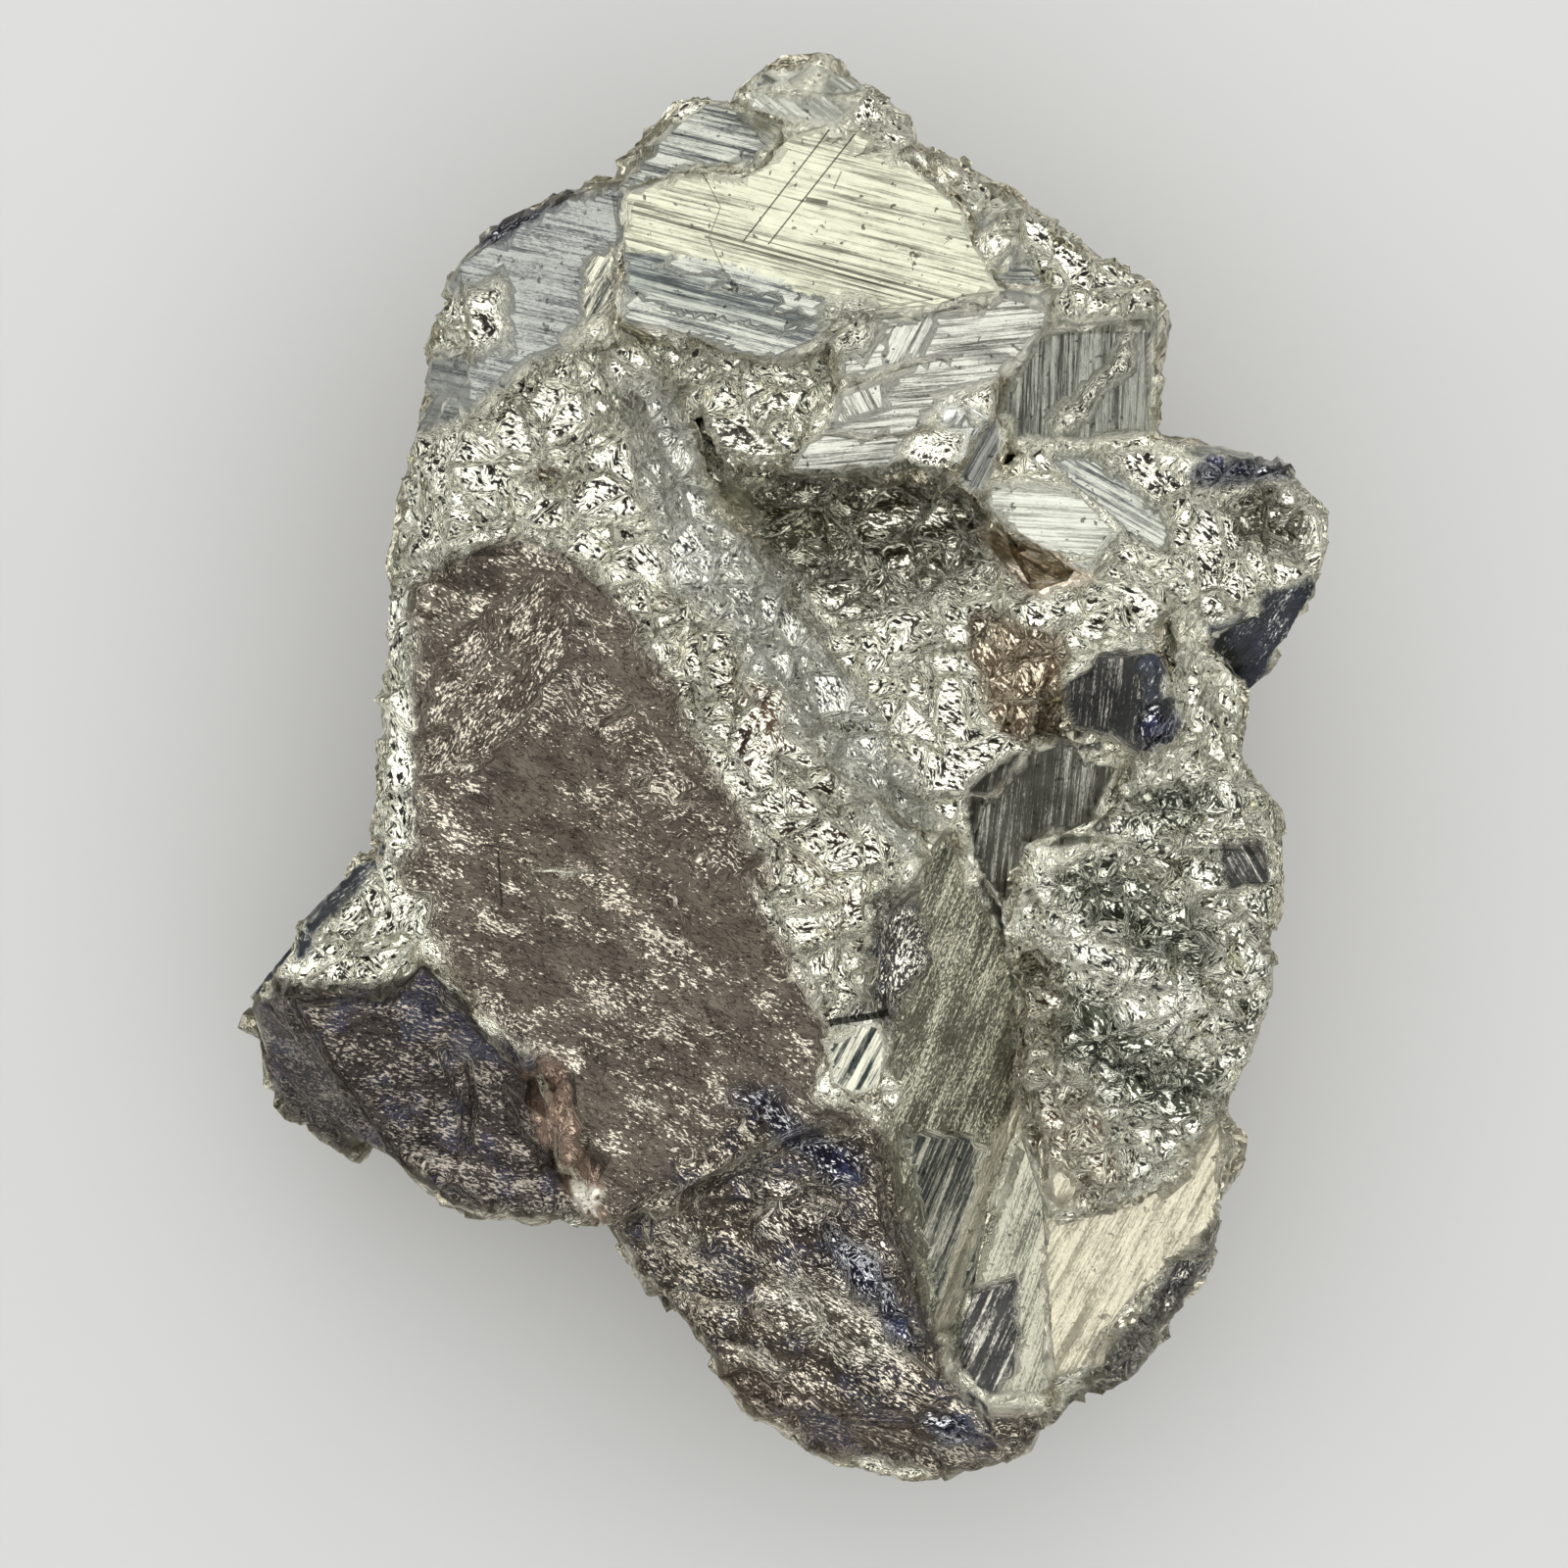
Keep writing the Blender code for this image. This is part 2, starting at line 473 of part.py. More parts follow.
def pit_depth(x, y):
    """How deep the pits are at a place in plan."""
    depth = 0.0
    for cx, cy, radius, deep in PITS:
        share = ((x - cx) ** 2 + (y - cy) ** 2) / radius ** 2
        if share < 1.0:
            depth += deep * (1.0 - share) ** 1.5
    return depth


def add_relief(obj):
    """Moves the skin along its normals: lumps and grains where it is broken, none on smooth faces."""
    mesh = bmesh.new()
    mesh.from_mesh(obj.data)
    mesh.normal_update()
    moves = []
    for vert in mesh.verts:
        point = vert.co / MM
        lump_height, block_height, grain_height = RELIEF[finish_at(point, vert.normal)]
        raised = noise.noise(point / LUMP_SIZE) * lump_height
        raised += blocky(point, BLOCK_SIZE) * block_height
        raised += blocky(point, GRAIN_SIZE) * grain_height
        shift = vert.normal * raised
        if vert.normal.z > STEEP and point.z > GIRDLE:
            shift.z -= pit_depth(point.x, point.y)
        moves.append(shift * MM)
    for vert, shift in zip(mesh.verts, moves):
        vert.co += shift
    mesh.to_mesh(obj.data)
    mesh.free()


def thin_out(obj):
    """Collapses the skin to the triangle budget, which leaves large flat faces whole."""
    obj.data.calc_loop_triangles()
    count = len(obj.data.loop_triangles)
    thin = obj.modifiers.new("thin", "DECIMATE")
    thin.ratio = min(1.0, MOST_TRIANGLES / count)
    apply_modifiers(obj)


def blunt_needles(obj):
    """Draws in each vertex that stands out as the tip of a needle or a thin fin."""
    mesh = bmesh.new()
    mesh.from_mesh(obj.data)
    mesh.normal_update()
    moves = []
    for vert in mesh.verts:
        neighbours = [edge.other_vert(vert).co for edge in vert.link_edges]
        middle = sum(neighbours, Vector()) / len(neighbours)
        height = (vert.co - middle).dot(vert.normal) / MM
        facings = [face.normal for face in vert.link_faces]
        turn = min(one.dot(other) for one in facings for other in facings)
        if len(neighbours) <= NEEDLE_EDGES and height > NEEDLE_HEIGHT and turn < NEEDLE_TURN:
            moves.append((vert, middle))
    for vert, place in moves:
        vert.co = place
    mesh.to_mesh(obj.data)
    mesh.free()


def cut_base(obj):
    """Cuts the underside off flat: the cube face that the specimen rests on."""
    mesh = bmesh.new()
    mesh.from_mesh(obj.data)
    cut_off(mesh, (0.0, 0.0, BASE_CUT), Vector((0.0, 0.0, -1.0)))
    bmesh.ops.recalc_face_normals(mesh, faces=mesh.faces)
    mesh.to_mesh(obj.data)
    mesh.free()


def linked_piece(start):
    """All vertices that edges connect to one vertex."""
    piece = {start}
    front = [start]
    while front:
        vert = front.pop()
        for edge in vert.link_edges:
            other = edge.other_vert(vert)
            if other not in piece:
                piece.add(other)
                front.append(other)
    return piece


def drop_crumbs(obj):
    """Keeps the specimen and removes any crumb that the relief or the cuts left loose."""
    mesh = bmesh.new()
    mesh.from_mesh(obj.data)
    highest = max(mesh.verts, key=lambda vert: vert.co.z)
    specimen = linked_piece(highest)
    crumbs = [vert for vert in mesh.verts if vert not in specimen]
    bmesh.ops.delete(mesh, geom=crumbs, context="VERTS")
    mesh.to_mesh(obj.data)
    mesh.free()


def centre_in_plan(obj):
    """Moves the mesh so that the z axis runs through the middle of its bounding box."""
    corners = [Vector(corner) for corner in obj.bound_box]
    middle = (corners[0] + corners[6]) / 2
    obj.data.transform(Matrix.Translation((-middle.x, -middle.y, 0.0)))


def pyrite_material():
    material = bpy.data.materials.new("pyrite")
    material.use_nodes = True
    shader = material.node_tree.nodes["Principled BSDF"]
    shader.inputs["Base Color"].default_value = (0.62, 0.56, 0.40, 1.0)
    shader.inputs["Metallic"].default_value = 1.0
    shader.inputs["Roughness"].default_value = 0.32
    return material


def main():
    clear_scene()
    specimen = bpy.data.objects.new("pyrite", fused_mesh())
    bpy.context.scene.collection.objects.link(specimen)
    fuse_skin(specimen)
    add_relief(specimen)
    thin_out(specimen)
    blunt_needles(specimen)
    cut_base(specimen)
    drop_crumbs(specimen)
    centre_in_plan(specimen)
    specimen.data.materials.clear()
    specimen.data.materials.append(pyrite_material())


main()
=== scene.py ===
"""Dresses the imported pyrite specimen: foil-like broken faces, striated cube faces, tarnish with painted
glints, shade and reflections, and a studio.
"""

import math
from dataclasses import dataclass, field
from itertools import product

import bpy
import numpy as np
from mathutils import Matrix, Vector

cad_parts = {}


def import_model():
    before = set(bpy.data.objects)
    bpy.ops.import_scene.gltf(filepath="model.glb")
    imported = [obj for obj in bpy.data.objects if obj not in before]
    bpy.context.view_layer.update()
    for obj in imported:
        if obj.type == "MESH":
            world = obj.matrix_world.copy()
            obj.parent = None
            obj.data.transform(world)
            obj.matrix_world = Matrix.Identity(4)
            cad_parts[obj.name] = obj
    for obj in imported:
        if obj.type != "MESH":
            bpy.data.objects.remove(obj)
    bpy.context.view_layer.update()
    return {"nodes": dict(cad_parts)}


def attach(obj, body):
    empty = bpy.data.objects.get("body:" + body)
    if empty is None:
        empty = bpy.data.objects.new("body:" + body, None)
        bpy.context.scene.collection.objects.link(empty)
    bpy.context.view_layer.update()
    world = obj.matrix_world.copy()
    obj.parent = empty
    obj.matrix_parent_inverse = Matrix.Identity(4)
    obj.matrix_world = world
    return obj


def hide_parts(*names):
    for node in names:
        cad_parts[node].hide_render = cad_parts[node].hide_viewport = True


MM = 0.001
PLAN_SHIFT = (0.24, -0.46)  # mm from the outlines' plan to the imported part

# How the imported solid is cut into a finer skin.
SAME_PLANE = 0.9975  # cosine between neighbouring triangles of one plane
FLAT_AREA = (5.0, 14.0)  # mm2 of one plane: below the first it is broken, above the second a cube face
FRONT_STEP, FLAT_STEP, BACK_STEP, BASE_STEP = 0.39, 0.62, 1.10, 3.0  # longest edges in mm
SPLITS = 9  # most rounds of halving edges
STRETCHED = 1.6  # an edge this much too long is split even where it isn't its triangle's longest
ON_BASE = 0.01  # mm: what lies lower is the flat base
SHARP = 24.0  # degrees between planes that meet in a sharp edge

# Where the looks of the crystal side begin and end.
CRYSTAL_SIDE = 11.0  # mm above the cut base where the crystal side begins
RISES = (0.15, 0.18)  # least upward share of a crystal-side triangle's normal, and of a vertex's
UPWARD = 0.55  # upward share of the normal above which the crystal side is never cube side
EDGE_TURN = 0.93  # cosine: a face's plane that turns further than this is its crumbling edge
WANDER = (0.22, 0.5)  # mm that the outlines of faces and of broken patches wander
CLEAN_BELOW, SMOOTH_BELOW = 0.3, 0.2  # relief of a face with a clean outline, and with crumbling edges
FEWEST = 20  # vertices that such a face has at least
EVEN_BELOW = 0.4  # relief below which a zone's flakes all run one way
EASED_BELOW, EASED = 0.45, 0.85  # relief below which it is eased on flat planes, and by how much
BLENDING, BLENDING_ROUNDS = 0.8, 3  # how far neighbouring broken patches run into each other
LEDGE_HEIGHT, LEDGE_WIDTH = 0.05, 0.9  # mm
LAYERING = (0.12, 0.25, 0.96)  # the striations of the sides run square to this

# The noises of the material: lumps per mm, detail, roughness and, for some, distortion.
FOIL = (3.8, 4.0, 0.64, 0.2)
STRIPES = (3.0, 5.0, 0.78)
SWAY = (0.3, 2.0, 0.5)
CLOUDS = (0.3, 4.0, 0.6)
SHADES = (0.45, 5.0, 0.65)
PATCHES = (0.33, 3.0, 0.65)
HUES = (0.9, 1.0, 0.5)
WEAR = (0.8, 3.0, 0.6)
CREASES = (1.3, 3.0, 0.6, 0.5)
PITS = (1.9, 3.0, 0.62, 0.3)

# How strong its patterns are, and how they are drawn out.
CRYSTALS = 3.5  # tiny crystals per mm
CHIPS = 0.18  # how much brighter one tiny crystal is than the next
BUMP = 0.00005  # m that the flakes stand proud where a finish's bump is 1
TURN = 0.30  # how far the tiny crystals are turned
COARSER = 0.25  # what the lumps per mm are multiplied by where a finish's coarse is 1
LENGTH = 1.5  # a flake is 1 + this times as long as it is wide
SWAY_WIDTH = 0.8  # mm that its way wanders
ALONG = 0.03  # how much striations change along their run, of what they change across it
FOIL_IN_STRIPES, FOIL_IN_HEIGHT = 0.12, 0.4  # how much of the foil shows in them and in the bumps
LEVEL, LEVEL_RANGE = 0.66, 0.32  # pattern above which flakes are bright, and how far the share lowers it
LEAST_CLUMP, SPARSE_CLUMP, COARSE_CLUMP, STRIPED_CLUMP = 0.10, 0.75, 0.5, 0.22  # how far clouds shift it
SOFTNESS = (0.035, 0.13)  # of the step from ground to bright, on flakes and on striations
SHADE_RANGE, LEAST_SHADE = 1.7, 0.15  # how much the ground's tone varies at random
WEAR_RANGE, LEAST_WEAR = 0.5, 0.75  # how much all colours vary
PATCH_EDGE, CREASE_EDGE, PIT_EDGE = (0.50, 0.60), (0.008, 0.035), (0.635, 0.68)  # noise at their edges
# How dark the painted shade in the creases is, and how dark the pits are.
CREASE_SHADE, PIT_DARK = 0.70, 0.75
DULLER = 0.10  # how much rougher the ground is than the flakes
BLUE_AND_VIOLET = ((0.055, 0.05, 0.16, 1.0), (0.09, 0.12, 0.16, 1.0))  # violet and blue: partly painted reflection of blue light, partly tarnish

SCRATCH_ABOVE = 15.0  # mm: scratches and cracks lie only on the crystals higher than this
SCRATCHES = [  # start and end in plan in mm, width in mm, how dark
    ((2.3, 33.0), (-2.1, 27.3), 0.08, 0.8),
    ((3.6, 32.8), (-0.8, 27.2), 0.08, 0.8),
    ((-7.7, 28.9), (8.6, 24.4), 0.16, 0.65),
    ((-7.9, 29.3), (6.5, 25.3), 0.07, 0.6),
    ((-4.0, 27.6), (7.5, 24.4), 0.12, 0.7),
    ((-2.0, 26.7), (5.5, 24.6), 0.07, 0.55),
    ((-7.9, 28.2), (2.0, 25.6), 0.1, 0.45),
    ((-4.1, 30.8), (-3.2, 29.1), 0.07, 0.5),
    ((-3.2, 29.1), (-3.8, 27.5), 0.07, 0.5),
    ((-3.8, 27.5), (-3.0, 25.8), 0.08, 0.5),
    ((1.1, 29.5), (2.2, 29.3), 0.22, 0.7),
    ((2.5, 30.0), (2.9, 30.9), 0.08, 0.55),
    ((2.3, -12.1), (5.3, -11.6), 0.35, 0.85),
    ((-15.3, -3.1), (-12.6, -3.6), 0.1, 0.55),
    ((-14.6, -3.4), (-14.4, -6.3), 0.12, 0.65),
    ((-17.8, -4.3), (-16.1, -3.3), 0.09, 0.5),
]

WORLD = (0.30, 0.36)  # radiance of the studio at the horizon and overhead
FLOOR_HALF = 3.0  # m
FLOOR_PAINT = (0.60, 0.60, 0.59)
LIT_HEIGHT = 0.02  # m: the softboxes face this height above the floor
SOFTBOXES = [  # name, place in m, side in m, radiance
    ("key", (0.05, 0.16, 1.3), 2.1, 1.2),
    ("fill", (0.05, 0.1, 1.4), 3.6, 0.3),
    ("left", (-1.25, 0.15, 0.5), 0.7, 1.6),
    ("right", (1.25, 0.35, 0.5), 0.7, 1.6),
    ("back", (0.2, 1.35, 0.5), 0.7, 1.6),
    ("front", (0.1, -1.35, 0.5), 0.7, 1.1),
]

CAMERA_DISTANCE = 0.600  # m from the faces that look up
FACE_HEIGHT = 0.024  # m that those lie above the floor
FIELD = 0.080  # m that the frame is wide there
SENSOR = 36.0  # mm


@dataclass
class Finish:
    """How a kind of surface looks: bright flakes or stripes of one colour over a ground of another, partly
    the grain and partly painted glints over painted dark reflection.
    """

    tint: tuple  # reflection colour of the bright flakes, linear
    ground: tuple  # reflection colour between them, kept dark partly as painted dark reflection of the surroundings
    share: float  # how much of the surface is bright, 0 to 1
    rough: float  # roughness of its reflection, 0 to 1
    bump: float  # how strongly the flakes turn the light
    relief: float  # how far the broken relief is raised
    lines: float = 0.0  # 1 where the flakes are straight growth striations
    coarse: float = 0.0  # 1 where the flakes are four times as large, below 0 where they are finer
    stone: float = 0.0  # 1 where it is quartz or rust instead of metal
    blue_violet: float = 0.0  # how much blue and violet lies over the ground, partly painted reflection of blue light and partly tarnish
    lift: float = 0.0  # how far its flakes lean up towards the sky

    def row(self):
        """Its numbers in the order of the columns below."""
        return [
            *self.tint, self.share, *self.ground, self.lines, self.rough, self.bump, self.coarse, self.stone,
            self.blue_violet, self.relief, self.lift
        ]


COLOUR_COLUMNS = {"tint": slice(0, 4), "ground": slice(4, 8), "look": slice(8, 12)}
LINES, STONE, BLUE_VIOLET, RELIEF, LIFT = 7, 11, 12, 13, 14

GOLD = (0.97, 0.95, 0.79)

FINISHES = {
    "crag": Finish((0.93, 0.92, 0.77), (0.03, 0.028, 0.023), 0.6, 0.24, 1.0, 1.0, coarse=0.28, lift=0.4),
    "crest": Finish(GOLD, (0.034, 0.024, 0.019), 0.55, 0.24, 1.0, 1.0, coarse=0.22, lift=0.25),
    "flank": Finish((0.96, 0.96, 0.85), (0.064, 0.067, 0.059), 0.62, 0.27, 0.9, 0.75),
    "hollow": Finish(GOLD, (0.08, 0.077, 0.062), 0.58, 0.26, 1.0, 1.0, coarse=0.3, lift=0.25),
    # Brightened as painted light, against the shade that this steep face lies in.
    "lit olive": Finish((0.97, 0.95, 0.78), (0.42, 0.4, 0.29), 0.42, 0.3, 0.7, 0.4, coarse=0.1),
    "moss": Finish((0.9, 0.9, 0.72), (0.078, 0.076, 0.051), 0.27, 0.3, 0.7, 0.5, coarse=0.1, lift=0.2),
    "umber": Finish((0.95, 0.93, 0.78), (0.092, 0.084, 0.062), 0.38, 0.3, 0.8, 0.8, coarse=0.2),
    "stain": Finish(GOLD, (0.108, 0.074, 0.048), 0.54, 0.28, 1.0, 0.9, coarse=0.25),
    "amber": Finish((0.82, 0.73, 0.55), (0.122, 0.088, 0.055), 0.38, 0.3, 0.9, 0.8, coarse=0.25, lift=0.15),
    "bronze": Finish((0.97, 0.89, 0.72), (0.145, 0.122, 0.098), 0.11, 0.34, 0.6, 0.2),
    "fawn": Finish((0.84, 0.76, 0.62), (0.134, 0.111, 0.087), 0.3, 0.32, 0.8, 0.45),
    "cocoa": Finish((0.97, 0.87, 0.7), (0.15, 0.124, 0.098), 0.07, 0.36, 0.5, 0.15),
    "dusk": Finish((0.95, 0.87, 0.7), (0.081, 0.067, 0.053), 0.26, 0.3, 0.9, 0.55, blue_violet=0.3),
    "dusk light": Finish((0.97, 0.91, 0.76), (0.066, 0.052, 0.046), 0.36, 0.27, 0.9, 0.75,
        coarse=0.12, blue_violet=0.3),
    "dusk dark": Finish((0.84, 0.73, 0.59), (0.098, 0.077, 0.058), 0.21, 0.32, 0.8, 0.45, blue_violet=0.4),
    # Painted sheen: brighter streaks on the lower slope where it reflects the light.
    "sheen": Finish((0.88, 0.84, 0.7), (0.12, 0.103, 0.08), 0.4, 0.26, 0.8, 0.5, lift=0.1),
    "lobe": Finish((0.48, 0.43, 0.36), (0.064, 0.054, 0.049), 0.27, 0.33, 0.8, 0.45, blue_violet=0.35),
    "lobe shade": Finish((0.4, 0.35, 0.3), (0.046, 0.039, 0.035), 0.28, 0.36, 0.7, 0.42, blue_violet=0.35),
    "mass": Finish((0.97, 0.96, 0.82), (0.075, 0.078, 0.06), 0.56, 0.2, 1.0, 1.0, coarse=0.6, lift=0.15),
    "mass light": Finish((0.95, 0.94, 0.81), (0.064, 0.066, 0.054), 0.62, 0.2, 1.0, 1.0,
        coarse=0.5, lift=0.3),
    "mass shade": Finish((0.95, 0.95, 0.8), (0.064, 0.07, 0.05), 0.37, 0.22, 0.9, 1.0, coarse=0.5, lift=0.1),
    "rim": Finish((0.97, 0.94, 0.8), (0.067, 0.065, 0.06), 0.38, 0.24, 0.9, 0.8, blue_violet=0.2),
    "violet": Finish((0.85, 0.86, 0.9), (0.017, 0.017, 0.031), 0.28, 0.28, 0.9, 0.6, blue_violet=0.8),
    "navy": Finish((0.8, 0.82, 0.77), (0.054, 0.059, 0.067), 0.2, 0.24, 0.5, 0.15, lines=0.5, blue_violet=0.15),
    "terrace": Finish((0.5, 0.5, 0.385), (0.154, 0.151, 0.116), 0.63, 0.22, 0.35, 0.05,
        lines=1.0, coarse=-0.15),
    "blue": Finish((0.35, 0.37, 0.32), (0.062, 0.07, 0.071), 0.46, 0.22, 0.6, 0.06, lines=1.0),
    "ledge": Finish((0.44, 0.45, 0.39), (0.072, 0.078, 0.079), 0.56, 0.23, 0.7, 0.12,
        lines=0.95, coarse=-0.15),
    "slope": Finish((0.36, 0.37, 0.34), (0.115, 0.122, 0.118), 0.57, 0.26, 0.7, 0.14,
        lines=0.8, coarse=-0.2),
    "crumb": Finish(GOLD, (0.044, 0.041, 0.034), 0.66, 0.24, 1.1, 0.9, coarse=0.3, lift=0.9),
    "chevron": Finish((0.49, 0.49, 0.43), (0.085, 0.084, 0.07), 0.58, 0.22, 0.6, 0.08,
        lines=0.95, coarse=-0.35),
    "flute": Finish((0.54, 0.55, 0.47), (0.105, 0.105, 0.088), 0.52, 0.25, 0.7, 0.12,
        lines=1.0, coarse=-0.3),
    "column": Finish((0.86, 0.87, 0.8), (0.125, 0.131, 0.12), 0.57, 0.22, 0.7, 0.1, lines=1.0),
    "window": Finish((0.54, 0.53, 0.43), (0.024, 0.03, 0.028), 0.6, 0.2, 0.3, 0.04, lines=1.0),
    "triangle": Finish((0.49, 0.5, 0.43), (0.19, 0.192, 0.164), 0.55, 0.22, 0.4, 0.06,
        lines=0.95, coarse=-0.2),
    # Brightened as painted light, against the shade that this steep face lies in.
    "wedge": Finish((0.97, 0.9, 0.72), (0.45, 0.38, 0.29), 0.34, 0.26, 0.4, 0.2, lines=0.5),
    "groove": Finish((0.7, 0.68, 0.52), (0.105, 0.102, 0.073), 0.44, 0.25, 0.6, 0.1, lines=0.5, coarse=-0.3),
    "smoke": Finish((0.55, 0.52, 0.45), (0.046, 0.047, 0.044), 0.27, 0.22, 0.5, 0.1, lines=0.8, coarse=-0.1),
    "slate": Finish((0.62, 0.6, 0.48), (0.056, 0.062, 0.054), 0.48, 0.22, 0.5, 0.1, lines=0.9),
    "silver": Finish((0.42, 0.41, 0.32), (0.115, 0.117, 0.091), 0.6, 0.26, 0.5, 0.12,
        lines=0.75, coarse=-0.2),
    "cream": Finish((0.49, 0.46, 0.35), (0.225, 0.21, 0.152), 0.54, 0.28, 0.5, 0.12,
        lines=0.75, coarse=-0.15),
    "olive": Finish((0.42, 0.42, 0.36), (0.062, 0.061, 0.049), 0.31, 0.26, 0.5, 0.12,
        lines=0.85, coarse=-0.35),
    "rust": Finish((0.84, 0.64, 0.48), (0.155, 0.095, 0.066), 0.42, 0.6, 1.0, 0.8, stone=0.8),
    "quartz": Finish((0.97, 0.93, 0.8), (0.72, 0.64, 0.52), 0.75, 0.35, 0.5, 0.3, stone=1.0),
    "broken side": Finish((0.86, 0.81, 0.62), (0.37, 0.335, 0.245), 0.56, 0.2, 3.0, 0.95,
        coarse=0.3, blue_violet=0.1),
    "cube side": Finish((0.74, 0.72, 0.58), (0.2, 0.195, 0.155), 0.6, 0.2, 0.9, 0.1, lines=0.9, blue_violet=0.05),
}


@dataclass
class Zone:
    """One face or patch of the crystal side, as an outline in plan in mm."""

    name: str
    finish: str
    angle: float  # which way its flakes and striations run in plan, in degrees from +X
    outline: list = field(default_factory=list)


